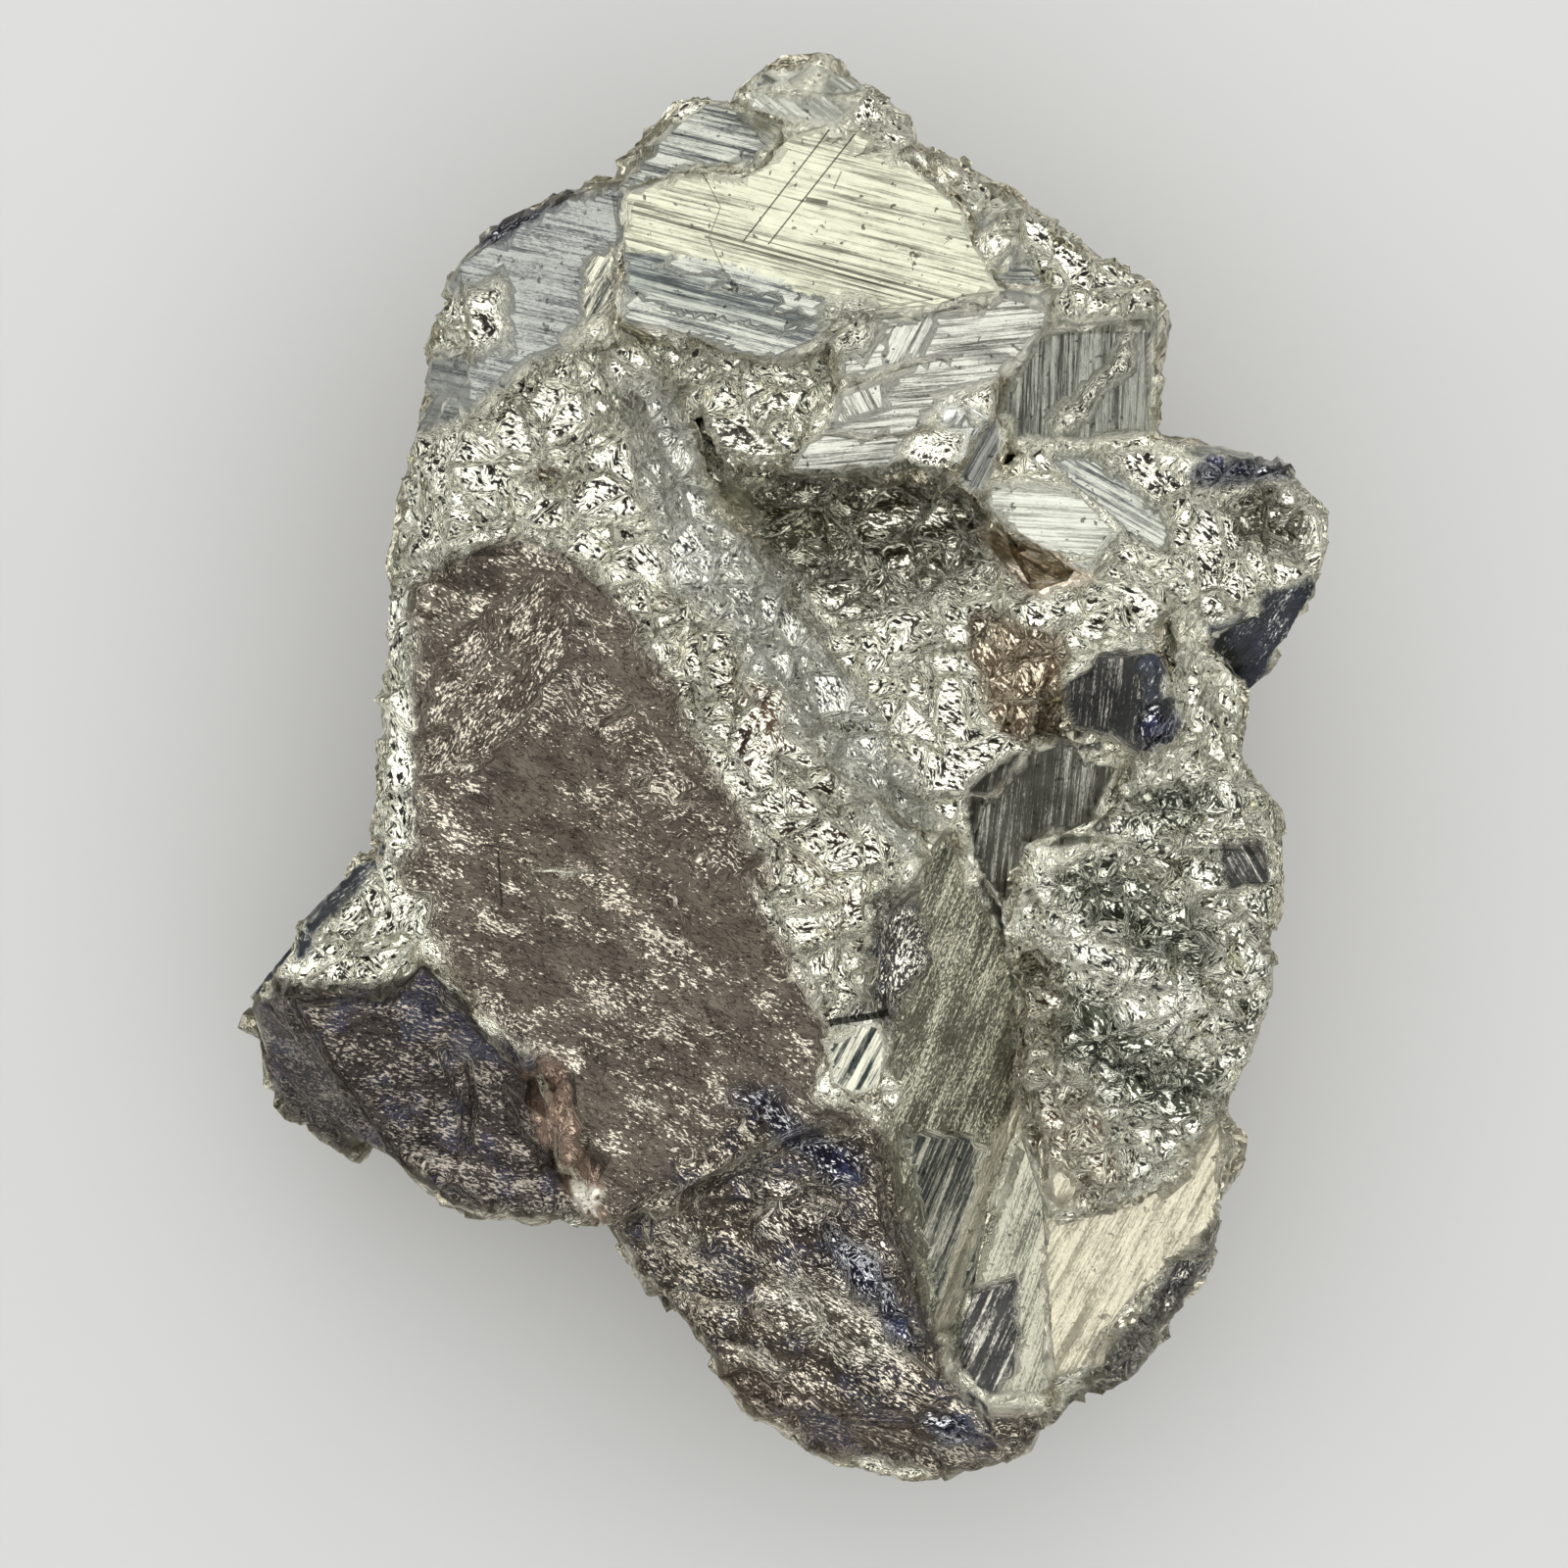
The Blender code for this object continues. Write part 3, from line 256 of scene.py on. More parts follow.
# Later zones lie over earlier ones.
ZONES = [
    Zone("left_crag", "crag", -35, [(-18.2, 19), (-14, 20.8), (-10, 22.5), (-5, 22.5), (-4, 19), (-5, 10),
        (-7.5, 8), (-11.5, 12), (-14, 12.5), (-18, 10.5), (-20.2, 8), (-20.2, 12), (-19.5, 15),
        (-18.6, 18)]),
    Zone("brow", "crag", -20, [(-10, 22.5), (-5, 22.5), (-2.5, 21.6), (0.8, 21.7), (2.3, 22.4), (2.5, 20),
        (0.2, 16), (-4, 18), (-8, 19)]),
    Zone("brow_stain", "umber", -40, [(-6.6, 20.4), (-3.4, 20.2), (-2.3, 18.1), (-2.6, 16.2), (-4.2, 16.3),
        (-5.5, 17.7)]),
    Zone("brow_spot", "stain", -20, [(-13.3, 15.8), (-12, 16.3), (-10.4, 15.3), (-11.4, 14.7), (-13, 15)]),
    Zone("ridge_flank", "flank", -58, [(-8, 20.5), (-5, 19.5), (-4.2, 15.5), (-2, 13), (0.5, 10.5),
        (1.5, 7.8), (5, 7), (7.2, 4.5), (8.2, 1.5), (8.5, -3), (6.5, -4), (4, -1.5), (0, 3), (-2.2, 6.5),
        (-4.2, 8.8), (-6.2, 11), (-7.5, 15)]),
    Zone("ridge_crest", "crest", -28, [(-10, 10), (-6, 10.5), (-4, 8.8), (-2, 6), (0, 2.8), (4, -1.8),
        (6.5, -4), (7.2, -7.5), (5.2, -12), (2.5, -12.5), (0, -9), (-2, -5), (-5, 2), (-7.5, 6)]),
    Zone("crest_spot_high", "stain", -30, [(-7.2, 9.4), (-5.5, 10.5), (-4.9, 9.7), (-6.4, 8.6)]),
    Zone("crest_spot_middle", "stain", -30, [(-3.4, 6.3), (-1.2, 5.6), (0.1, 3.9), (0.6, 1.5), (-0.7, 1.2),
        (-1.2, 2.6), (-2.6, 4.2)]),
    Zone("crest_spot_low", "stain", -30, [(-0.6, -3), (1.5, -3.4), (2.6, -4.9), (3.4, -7.5), (2.3, -7.3),
        (1.1, -5.1)]),
    Zone("hollow", "hollow", -20, [(-4.2, 15.5), (-5.5, 20), (2.5, 20.8), (0.5, 15), (5, 15.5), (10, 14.2),
        (13, 10), (10, 8), (6.5, 5), (2.5, 7.5), (-0.5, 11.5), (-3.5, 15)]),
    Zone("hollow_olive", "lit olive", -12, [(-4.1, 14.8), (-2.8, 15.5), (0, 15), (3, 14), (5, 12), (3, 10.5),
        (1.5, 10), (0, 10.5), (-2.5, 12.8)]),
    Zone("hollow_dark", "umber", -10, [(0, 16.1), (3.5, 16.5), (8, 16), (10.2, 13.2), (10, 10.5), (7, 8.8),
        (3.5, 8), (1.8, 9.4), (0, 10.5), (-1.5, 12), (0, 13.5)]),
    Zone("hollow_moss", "moss", -12, [(-1.6, 15.2), (1.5, 15), (3.2, 13.7), (2.9, 11.9), (0.6, 11.2),
        (-1.2, 12)]),
    Zone("bank", "crag", -20, [(2, 7.5), (6.5, 9.5), (12.5, 9.8), (15.5, 10.5), (19.5, 10), (20, 7.5),
        (15, 7), (14, 2), (10, 1), (8, -2.5), (5, 3)]),
    Zone("bank_stain", "amber", -60, [(9.2, 8), (11.5, 8.9), (14.2, 7.5), (14.4, 5), (14, 2.5), (11.5, 2.3),
        (10, 4.2)]),
    Zone("bronze_face", "bronze", -25, [(-18.5, 10.5), (-14, 12.5), (-11.5, 12), (-7.5, 8), (-5, 2),
        (-2, -5), (0, -9), (2, -12.5), (1.5, -16), (3.5, -16.5), (5.2, -18.5), (-2, -22.5), (-9, -22.5),
        (-12, -14.5), (-16.5, -10.5), (-20, -3.5), (-20.5, 2), (-20.2, 8)]),
    Zone("bronze_light", "fawn", 58, [(-18, 5.5), (-16, 8.5), (-13, 10.5), (-11, 10), (-10.8, 7), (-13, 3.5),
        (-16, 0.5), (-19, 0)]),
    Zone("bronze_band", "fawn", -22, [(-11.2, 5), (-8, 5.5), (-5, 3), (-3, -0.5), (-0.5, -5), (-2, -5.2),
        (-5, -3), (-8, 0.5), (-10, 3)]),
    Zone("brown_top", "cocoa", -25, [(-10, 9.4), (-8, 8), (-6, 5.5), (-5, 2.5), (-3, -0.6), (-1.2, -4),
        (-2.5, -2.5), (-5, 0.5), (-7.5, 4), (-9.5, 6.5)]),
    Zone("brown_middle", "cocoa", -25, [(-13, 1.5), (-11, 2.8), (-9.5, 0.5), (-7.5, -1.5), (-5.5, -4),
        (-6, -6), (-9, -7), (-12, -6.2), (-14.5, -4), (-15, -1)]),
    Zone("brown_low", "cocoa", -25, [(-5.5, -5.2), (-2.5, -5), (0, -8), (0.2, -10), (-2, -9.5), (-5, -8)]),
    Zone("left_edge", "crag", -80, [(-20.8, 12), (-19.6, 10.5), (-18.6, 8), (-19.1, 4), (-18.8, 0),
        (-18.2, -3), (-19, -4), (-21, -4), (-20.8, 5)]),
    Zone("lower_slope", "dusk", -32, [(-9, -22.5), (-2, -17), (5.2, -17.5), (6.5, -22.5), (8, -30),
        (10, -32), (14.5, -32), (12.5, -34.5), (8, -36), (1.5, -34), (-5, -28.5)]),
    Zone("slope_fold", "dusk light", -32, [(-1.2, -19.4), (1.8, -20.6), (5.1, -22.6), (6.2, -26.5), (7, -30),
        (4, -29), (0, -26.8), (-1.4, -24)]),
    Zone("slope_sheen", "sheen", -32, [(-0.9, -25.1), (1.9, -25.3), (5.2, -27.6), (6.6, -30), (5, -30.2),
        (1.9, -28.9), (-0.2, -27.3)]),
    Zone("slope_streak_high", "sheen", -38, [(-6.7, -21.8), (-5.8, -22), (-4.3, -23.5), (-4.6, -24.1),
        (-5.8, -23.3)]),
    Zone("slope_streak_low", "sheen", -38, [(-3, -28.7), (-1.9, -28.8), (0.1, -30.1), (-0.1, -30.8),
        (-1.9, -30.1)]),
    Zone("slope_foot", "dusk dark", -20, [(-5, -28.6), (-3, -30), (0, -31.1), (3, -32), (6.5, -32),
        (8, -33.5), (6.5, -34.5), (3, -34.5), (-1, -32.5)]),
    Zone("violet_patch", "violet", -45, [(-2.2, -16), (0, -16), (2.5, -18.5), (4.5, -20), (2.5, -20),
        (-0.5, -18)]),
    Zone("violet_streak", "violet", -40, [(-2.8, -15.6), (-1.2, -15.4), (1.5, -17.5), (4.2, -19.6),
        (3.5, -20.3), (0.8, -19.1), (-1.5, -17.2)]),
    Zone("violet_middle", "violet", -55, [(1.8, -21.8), (3.6, -23.1), (6.6, -27.5), (7, -29.6), (5.2, -27.8),
        (2.9, -24.6)]),
    Zone("violet_low", "violet", -5, [(6.8, -32.4), (9.6, -32.5), (10.2, -33.5), (7.5, -33.8)]),
    Zone("left_lobe", "lobe", -15, [(-27.8, -11.5), (-25.5, -10), (-18, -9.5), (-15, -12.5), (-12, -14.5),
        (-9, -22.5), (-18, -22.2), (-21, -20), (-25, -18), (-27.5, -14)]),
    Zone("lobe_flank", "lobe shade", -15, [(-27.8, -11.5), (-26.9, -11), (-25, -11.5), (-23.2, -14.2),
        (-21.2, -17.5), (-20.5, -20.2), (-25, -18), (-27.5, -14)]),
    Zone("lobe_facet", "crag", 40, [(-20.5, -3.2), (-18.2, -6.5), (-20, -10), (-25.5, -10.5), (-23, -6.2)]),
    Zone("lobe_rim", "navy", 45, [(-27.8, -10), (-20.5, -2.5), (-20.2, -3.6), (-25, -9), (-26.9, -11.5)]),
    Zone("pocket", "rust", -60, [(-12.8, -14.2), (-11.1, -14.8), (-10.4, -18), (-8.9, -22), (-10, -22.8),
        (-11.6, -20.2), (-12.6, -17)]),
    Zone("quartz_fleck", "quartz", 0, [(-10.8, -20.2), (-9.2, -20.7), (-9.4, -22.3), (-10.6, -22)]),
    Zone("groove_face", "groove", 68, [(8, -1.5), (10, -6.5), (11.5, -8), (12, -15), (12.5, -17.5),
        (10, -25), (8.2, -30), (6.5, -22.5), (5.2, -17.5), (5.5, -12.5), (5.2, -6)]),
    Zone("groove_slate", "slate", 68, [(6.2, -17.5), (10.5, -18.5), (9.8, -25.5), (7.8, -26.5)]),
    Zone("silver_face", "silver", 72, [(12.2, -17.5), (13.5, -19), (13.7, -31.8), (10, -32), (8.2, -30),
        (10, -25)]),
    Zone("silver_slate", "smoke", 66, [(9.2, -26.2), (11.8, -25), (12.1, -30), (10.2, -32), (8.4, -30)]),
    Zone("bright_ridge", "cream", 68, [(11.9, -15.8), (12.5, -16.1), (10.7, -20.2), (9.4, -24.6),
        (8.2, -28.8), (7.5, -28.5), (8.6, -24.4), (10, -20.1)]),
    Zone("cream_face", "cream", 62, [(13.3, -19), (17, -17), (22.5, -17), (22, -22.5), (19, -25),
        (16.5, -30), (13.6, -30.5)]),
    Zone("dark_rim", "rim", 50, [(22, -22), (19.8, -25), (16.5, -29.5), (13.8, -32), (17.5, -31), (23, -27),
        (23.5, -22)]),
    Zone("window_dark", "rim", 75, [(4.8, -6), (7, -5), (7.2, -10), (5.5, -12.5), (2.5, -12.5), (4, -10.5)]),
    Zone("window_facet", "window", 62, [(2.1, -12.3), (5.2, -12.2), (5.4, -15), (3.4, -16), (1.9, -15.4)]),
    Zone("right_mass", "mass", -20, [(17.5, 1.5), (23.5, 0.5), (26, -2), (25.8, -8), (25, -12),
        (23.2, -16.5), (16.5, -22.2), (13, -19), (11.8, -13), (12, -8), (15, -3)]),
    Zone("mass_band", "mass shade", -35, [(13.5, -4.2), (16, -3.6), (19, -5.2), (22.2, -7.5), (21.2, -9.8),
        (17.5, -8), (14.5, -6.2)]),
    Zone("mass_fold", "mass shade", -35, [(12.8, -10.5), (15, -10.2), (19.2, -13.2), (22.2, -15.2),
        (20, -17), (16.2, -15), (13.5, -13.2)]),
    Zone("mass_crest", "mass light", -35, [(12, -5.8), (13.6, -3.1), (16.4, -2.1), (18.3, -2.8),
        (16.1, -3.5), (14.1, -4.4), (13.4, -6.2), (15.2, -7.4), (17.5, -8.8), (16.8, -10.1), (15, -10),
        (12.9, -10.3), (12.1, -8.2)]),
    Zone("mass_slope", "mass light", -35, [(17.5, -9.6), (21.1, -10.3), (22.6, -13), (21.8, -14.6),
        (19.5, -13), (16.5, -10.9)]),
    Zone("mass_notch", "mass shade", -35, [(17.5, 1.2), (20, 0.6), (22.1, -0.7), (21.6, -2.2), (19, -1.9),
        (17.5, -0.6)]),
    Zone("mass_facet", "smoke", -60, [(22.2, -3.1), (24.4, -2.9), (24.6, -5), (22.8, -5.4)]),
    Zone("mass_foot", "stain", -35, [(12, -13), (14.2, -14.2), (16.5, -17), (17.5, -20.2), (15.5, -22),
        (13.5, -19.5), (12, -16)]),
    Zone("right_rim", "crag", 70, [(19.5, 7.5), (23.8, 5.5), (25, 0), (17.5, 0), (18, 1.5), (20.4, 3)]),
    Zone("mass_stain", "stain", -20, [(11.8, -8), (14.1, -8.8), (14.2, -15), (12.2, -15.5)]),
    Zone("olive_facet", "olive", 84, [(9.2, 0), (13, 2.1), (17.5, 1.5), (16, -3), (13, -5), (11.2, -7.8),
        (10, -5)]),
    Zone("navy_facet", "navy", 60, [(13.9, 3.2), (14.5, 4.8), (16, 6), (17.5, 7.2), (19.1, 7.4), (19.2, 5),
        (20.1, 3.9), (20.4, 2.8), (19.8, 1.8), (18, 1.5), (15.5, 1.4)]),
    Zone("navy_grey", "smoke", 84, [(14.3, 4.9), (15.9, 6.5), (17.5, 7.2), (18.2, 5.5), (18.1, 1.6),
        (15.6, 1.5), (14.6, 2.9)]),
    Zone("navy_deep", "violet", 84, [(18, 4.2), (19.5, 3.9), (20.3, 2.9), (19.7, 1.8), (18, 1.6)]),
    Zone("shoulder", "crag", -35, [(12.2, 16.9), (25.5, 17.8), (28.5, 13), (27.8, 10.5), (21.8, 8), (19, 10),
        (15.2, 10.8), (17.3, 12.8), (14.8, 15)]),
    Zone("shoulder_ledge", "ledge", -30, [(13.8, 16.6), (15.5, 16.7), (19.8, 13.2), (19, 12), (17.3, 12.8),
        (15, 14.8)]),
    Zone("shoulder_pit", "umber", -35, [(22, 14.5), (24.5, 15), (27.1, 13.9), (27, 12), (23.1, 11.9)]),
    Zone("shoulder_rim", "ledge", -5, [(18.5, 18), (25.8, 18), (26, 15.9), (19.2, 16)]),
    Zone("shoulder_violet", "violet", -5, [(19.8, 16.2), (22, 16.7), (25.6, 16.7), (25.9, 16), (24, 15.6),
        (20.8, 15.6)]),
    Zone("shoulder_flank", "navy", 60, [(28.2, 11.2), (26.5, 7.5), (24, 4.2), (21.9, 5), (21.6, 8),
        (25, 9.7)]),
    Zone("triangle_wedge", "wedge", -30, [(10, 13.5), (13, 12.1), (15.8, 10.5), (13, 9.6), (10.5, 11.8)]),
    Zone("triangle_facet", "triangle", -3, [(10.4, 13.9), (10.5, 15.1), (14.8, 15), (17.3, 12.8),
        (15.2, 10.8), (13, 12.1)]),
    Zone("right_crag", "crag", -35, [(8.6, 31.5), (20, 25), (20, 23.4), (12.5, 23.4), (11, 24.8),
        (9.9, 27.3)]),
    Zone("fluted_wall", "flute", 88, [(12.5, 23.6), (20, 23.6), (19.2, 17), (10.8, 17.8), (11.8, 21)]),
    Zone("flute_ridge", "crag", 45, [(14, 17.2), (13, 18.5), (16, 21), (17, 23.5), (18, 23.5), (17.5, 20.8),
        (15.5, 18.8)]),
    Zone("terrace_face", "terrace", -14, [(-8.1, 29.7), (-4.9, 31.1), (-1.9, 31.1), (-0.9, 31.9),
        (0.9, 33.5), (5.5, 32.1), (6.9, 30.6), (8.6, 29.4), (9.9, 27.3), (11, 24.8), (7.1, 23.6),
        (3.2, 23.8), (2.3, 22.4), (0.8, 21.7), (-2.5, 21.6), (-5.6, 22.6), (-8.5, 23.4)]),
    Zone("terrace_low", "ledge", -14, [(-8.4, 26.9), (-5, 26.5), (-1, 25.6), (3.1, 23.8), (2.4, 22.3),
        (0.8, 21.6), (-2.5, 21.5), (-5.6, 22.6), (-8.5, 23.4)]),
    Zone("terrace_blue", "blue", -14, [(-8.2, 26.9), (-5.2, 26.5), (-6.6, 26), (-2.4, 25.5), (-3.9, 25.1),
        (0.3, 24.4), (-1.2, 24), (2.4, 23.2), (0.3, 23.2), (1.3, 22.7), (-1.6, 23.1), (-0.5, 22.8),
        (-5, 23.9), (-8, 24.8)]),
    Zone("back_ledge", "ledge", -12, [(-9, 29.2), (-6.4, 32.5), (-5.5, 35.6), (-3, 35), (-1, 35.8),
        (-0.4, 33.2), (-1.9, 31.1), (-4.9, 31.1), (-8, 29.7)]),
    Zone("summit_knob", "triangle", -40, [(-3, 34.6), (-0.5, 36.2), (3, 36.2), (4.5, 34.5), (3, 32.5),
        (0.9, 33.5), (-0.9, 32.4)]),
    Zone("knob_crag", "crag", -50, [(3, 36.2), (7.2, 33.5), (7, 31.8), (3.5, 32.5), (2.8, 34), (4, 35)]),
    Zone("left_terrace", "slope", -15, [(-18.5, 24), (-17.5, 25.5), (-16, 28), (-10, 31), (-8, 29.7),
        (-8.4, 27), (-10.4, 23.2), (-15, 19), (-18.8, 18)]),
    Zone("terrace_patch", "crag", -20, [(-17.7, 25), (-13.9, 25.6), (-13.9, 21.9), (-18, 21.9)]),
    Zone("terrace_violet", "violet", -15, [(-17.4, 25.8), (-16.5, 27.8), (-15, 28.4), (-12, 30),
        (-10, 30.8), (-9.6, 30.2), (-12, 28.9), (-14, 27.6), (-15.9, 26.9), (-16.9, 25.5)]),
    Zone("rhomb", "slate", 60, [(-10.4, 23.1), (-9.9, 26.5), (-8.4, 27.4), (-8.6, 24.1)]),
    Zone("terrace_comb", "ledge", 0, [(9.6, 28.4), (10.5, 28.8), (13, 25.5), (13.4, 23.5), (11, 24.8),
        (10, 26.9)]),
    Zone("chevrons", "chevron", 5, [(0.2, 15.9), (1.8, 18), (3, 20.8), (3.2, 23.8), (7.1, 23.6), (11, 24.8),
        (13.4, 23.5), (11.8, 20.8), (8.2, 19.9), (5.2, 16)]),
    Zone("chevron_turn", "chevron", -62, [(3.2, 20.5), (6.2, 21.4), (5, 19), (2.5, 18)]),
    Zone("chevron_turn_low", "chevron", 62, [(5, 22.8), (8, 23.8), (7, 21.4), (5.2, 20.8)]),
    Zone("terrace_crumb", "crag", 20, [(1.8, 23.9), (3.5, 24.4), (4.6, 23.8), (4.9, 22.5), (4.2, 21.4),
        (3.1, 21.4), (2.3, 22.5)]),
    Zone("striated_column", "column", 62, [(8, 19.2), (11.5, 18.8), (10.6, 14.9), (9.2, 14.8)]),
]

# Looks with no outline: the sides and back, and the crumbling edges of the faces.
SIDES = [Zone("broken_side", "broken side", 0), Zone("cube_side", "cube side", 0)]
BROKEN_SIDE, CUBE_SIDE = 0, 1
CRUMB = len(SIDES) + len(ZONES)
LOOKS = SIDES + ZONES + [Zone("crumbling_edge", "crumb", 20)]


def hashed(ix, iy, iz, salt):
    """A repeatable number from 0 to 1 for each whole-number cell, from large primes and bit shifts."""
    h = ix.astype(np.uint32) * np.uint32(73856093)
    h ^= iy.astype(np.uint32) * np.uint32(19349663)
    h ^= iz.astype(np.uint32) * np.uint32(83492791)
    h += np.uint32(salt * 2654435 + 12345)
    for shift, factor in ((16, 0x45D9F3B), (15, 0x2C1B3C6D), (16, 0x297A2D39)):
        h ^= h >> np.uint32(shift)
        h *= np.uint32(factor)
    return (h >> np.uint32(8)).astype(np.float64) / float(1 << 24)


def cell_vectors(cells, salts):
    """Three repeatable numbers from 0 to 1 for each whole-number cell."""
    return np.stack([hashed(*cells.T, salt) for salt in salts], 1)


def soft_noise(points, size, salt=0):
    """Smooth noise from -1 to 1 whose lumps are about a size across."""
    p = points / size
    low = np.floor(p).astype(np.int64)
    t = p - low
    t = t * t * (3 - 2 * t)
    total = np.zeros(len(p))
    for corner in product((0, 1), repeat=3):
        x, y, z = np.where(corner, t, 1 - t).T
        total += hashed(*(low + corner).T, salt) * (x * y) * z
    return total * 2 - 1


def ridges(points, size, salt=0):
    """Relief from -1 to 1 of sharp crests about a size apart, with smooth dips between them."""
    return 0.7 - 2.4 * np.abs(soft_noise(points, size, salt))


def nearest_cells(points, size, salt=0):
    """For each point, the way to it from the nearest scattered centre, and that one's random direction."""
    p = points / size
    home = np.floor(p).astype(np.int64)
    best = np.full(len(p), 1e9)
    away = np.zeros((len(p), 3))
    turn = np.zeros((len(p), 3))
    for step in product((-1, 0, 1), repeat=3):
        cells = home + step
        d = p - (cells + cell_vectors(cells, (salt + 1, salt + 2, salt + 3)))
        far = (d * d).sum(1)
        nearer = far < best
        best[nearer] = far[nearer]
        away[nearer] = d[nearer]
        turn[nearer] = cell_vectors(cells[nearer], (salt + 4, salt + 5, salt + 6)) * 2 - 1
    return away, turn


def facets(points, size, salt=0):
    """Relief from -1 to 1 of tilted flat facets about a size across."""
    away, turn = nearest_cells(points, size, salt)
    return np.clip((away * turn).sum(1), -1, 1)


def inside(outline, x, y):
    """Which points lie inside an outline."""
    found = np.zeros(len(x), bool)
    for (xa, ya), (xb, yb) in zip(outline, outline[1:] + outline[:1]):
        if ya == yb:
            continue
        crosses = (ya > y) != (yb > y)
        found ^= crosses & (x < xa + (y - ya) * (xb - xa) / (yb - ya))
    return found


def packed_triangles(source):
    """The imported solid's welded vertices in mm, and its triangles."""
    mesh = source.data
    mesh.calc_loop_triangles()
    places = np.empty(len(mesh.vertices) * 3)
    mesh.vertices.foreach_get("co", places)
    corners = np.empty(len(mesh.loop_triangles) * 3, np.int64)
    mesh.loop_triangles.foreach_get("vertices", corners)
    places, welded = np.unique(np.round(places.reshape(-1, 3) / MM, 4), axis=0, return_inverse=True)
    return places, welded.reshape(-1)[corners.reshape(-1, 3)]


def planes_of(places, faces):
    """For each triangle, the area and normal of the flat plane that it belongs to, and its own normal."""
    a, b, c = (places[faces[:, k]] for k in range(3))
    cross = np.cross(b - a, c - a)
    area = np.linalg.norm(cross, axis=1) / 2
    normal = cross / np.maximum(area[:, None] * 2, 1e-9)
    owner = list(range(len(faces)))

    def root(i):
        """The first triangle of the plane that a triangle is known to belong to."""
        while owner[i] != i:
            owner[i] = owner[owner[i]]
            i = owner[i]
        return i

    first = {}
    for face, ends in enumerate(faces.tolist()):
        for k in range(3):
            edge = (min(ends[k], ends[k - 1]), max(ends[k], ends[k - 1]))
            if edge not in first:
                first[edge] = face
            elif normal[face] @ normal[first[edge]] > SAME_PLANE:
                owner[root(face)] = root(first[edge])
    roots = np.array([root(i) for i in range(len(faces))])
    plane_area = np.bincount(roots, weights=area, minlength=len(faces))[roots]
    plane_normal = np.stack(
        [np.bincount(roots, weights=area * normal[:, k], minlength=len(faces))[roots] for k in range(3)], 1
    )
    plane_normal /= np.maximum(np.linalg.norm(plane_normal, axis=1)[:, None], 1e-9)
    return plane_area, plane_normal, normal


def edge_table(faces, count):
    """Each edge once, and for each triangle the numbers of its three edges."""
    ends = np.stack([faces, np.roll(faces, -1, axis=1)], 2).reshape(-1, 2)
    ends.sort(axis=1)
    keys, index = np.unique(ends[:, 0] * count + ends[:, 1], return_inverse=True)
    return np.stack([keys // count, keys % count], 1), index.reshape(-1, 3)


def divided(places, faces, parent, limit):
    """Splits every edge that is longer than its triangles allow, until none is left."""
    for _ in range(SPLITS):
        edges, of_face = edge_table(faces, len(places))
        length = np.linalg.norm(places[edges[:, 0]] - places[edges[:, 1]], axis=1)
        allowed = np.full(len(edges), 1e9)
        for k in range(3):
            np.minimum.at(allowed, of_face[:, k], limit[parent])
        longest = np.zeros(len(edges), bool)
        lengths = length[of_face]
        worst = of_face[np.arange(len(faces)), lengths.argmax(1)]
        longest[worst] = True
        split = (length > allowed) & (longest | (length > allowed * STRETCHED))
        if not split.any():
            break
        middle = np.full(len(edges), -1)
        middle[split] = len(places) + np.arange(split.sum())
        places = np.concatenate([places, places[edges[split]].mean(1)])
        marks = middle[of_face]
        count = (marks >= 0).sum(1)

        # Triangles stay whole, or are cut in two, three or four by as many split edges.
        kept = [faces[count == 0]]
        from_face = [parent[count == 0]]
        for turn in range(3):
            f = np.roll(faces, -turn, axis=1)
            m = np.roll(marks, -turn, axis=1)
            one = (count == 1) & (m[:, 0] >= 0)
            a, b, c = f[one].T
            ab = m[one, 0]
            kept += [np.stack([a, ab, c], 1), np.stack([ab, b, c], 1)]
            from_face += [parent[one]] * 2
            two = (count == 2) & (m[:, 2] < 0)
            a, b, c = f[two].T
            ab, bc = m[two, 0], m[two, 1]
            kept += [np.stack([ab, b, bc], 1), np.stack([a, ab, bc], 1), np.stack([a, bc, c], 1)]
            from_face += [parent[two]] * 3
        three = count == 3
        a, b, c = faces[three].T
        ab, bc, ca = marks[three].T
        kept += [np.stack(t, 1) for t in ((a, ab, ca), (ab, b, bc), (ca, bc, c), (ab, bc, ca))]
        from_face += [parent[three]] * 4
        faces, parent = np.concatenate(kept), np.concatenate(from_face)
    return places, faces, parent


def to_vertices(values, faces, count):
    """Averages of what the triangles round each vertex hold."""
    total = np.zeros((count, values.shape[1]))
    share = np.zeros(count)
    for k in range(3):
        share += np.bincount(faces[:, k], minlength=count)
        for j in range(values.shape[1]):
            total[:, j] += np.bincount(faces[:, k], weights=values[:, j], minlength=count)
    return total / np.maximum(share, 1e-12)[:, None]


def vertex_normals(places, faces):
    """The normal at each vertex, larger triangles counting more."""
    a, b, c = (places[faces[:, k]] for k in range(3))
    normals = to_vertices(np.cross(b - a, c - a), faces, len(places))
    return normals / np.maximum(np.linalg.norm(normals, axis=1)[:, None], 1e-12)


def smooth_between(low, high, value):
    """0 up to the low value, 1 from the high one, and an even curve between them."""
    t = np.clip((value - low) / (high - low), 0, 1)
    return t * t * (3 - 2 * t)


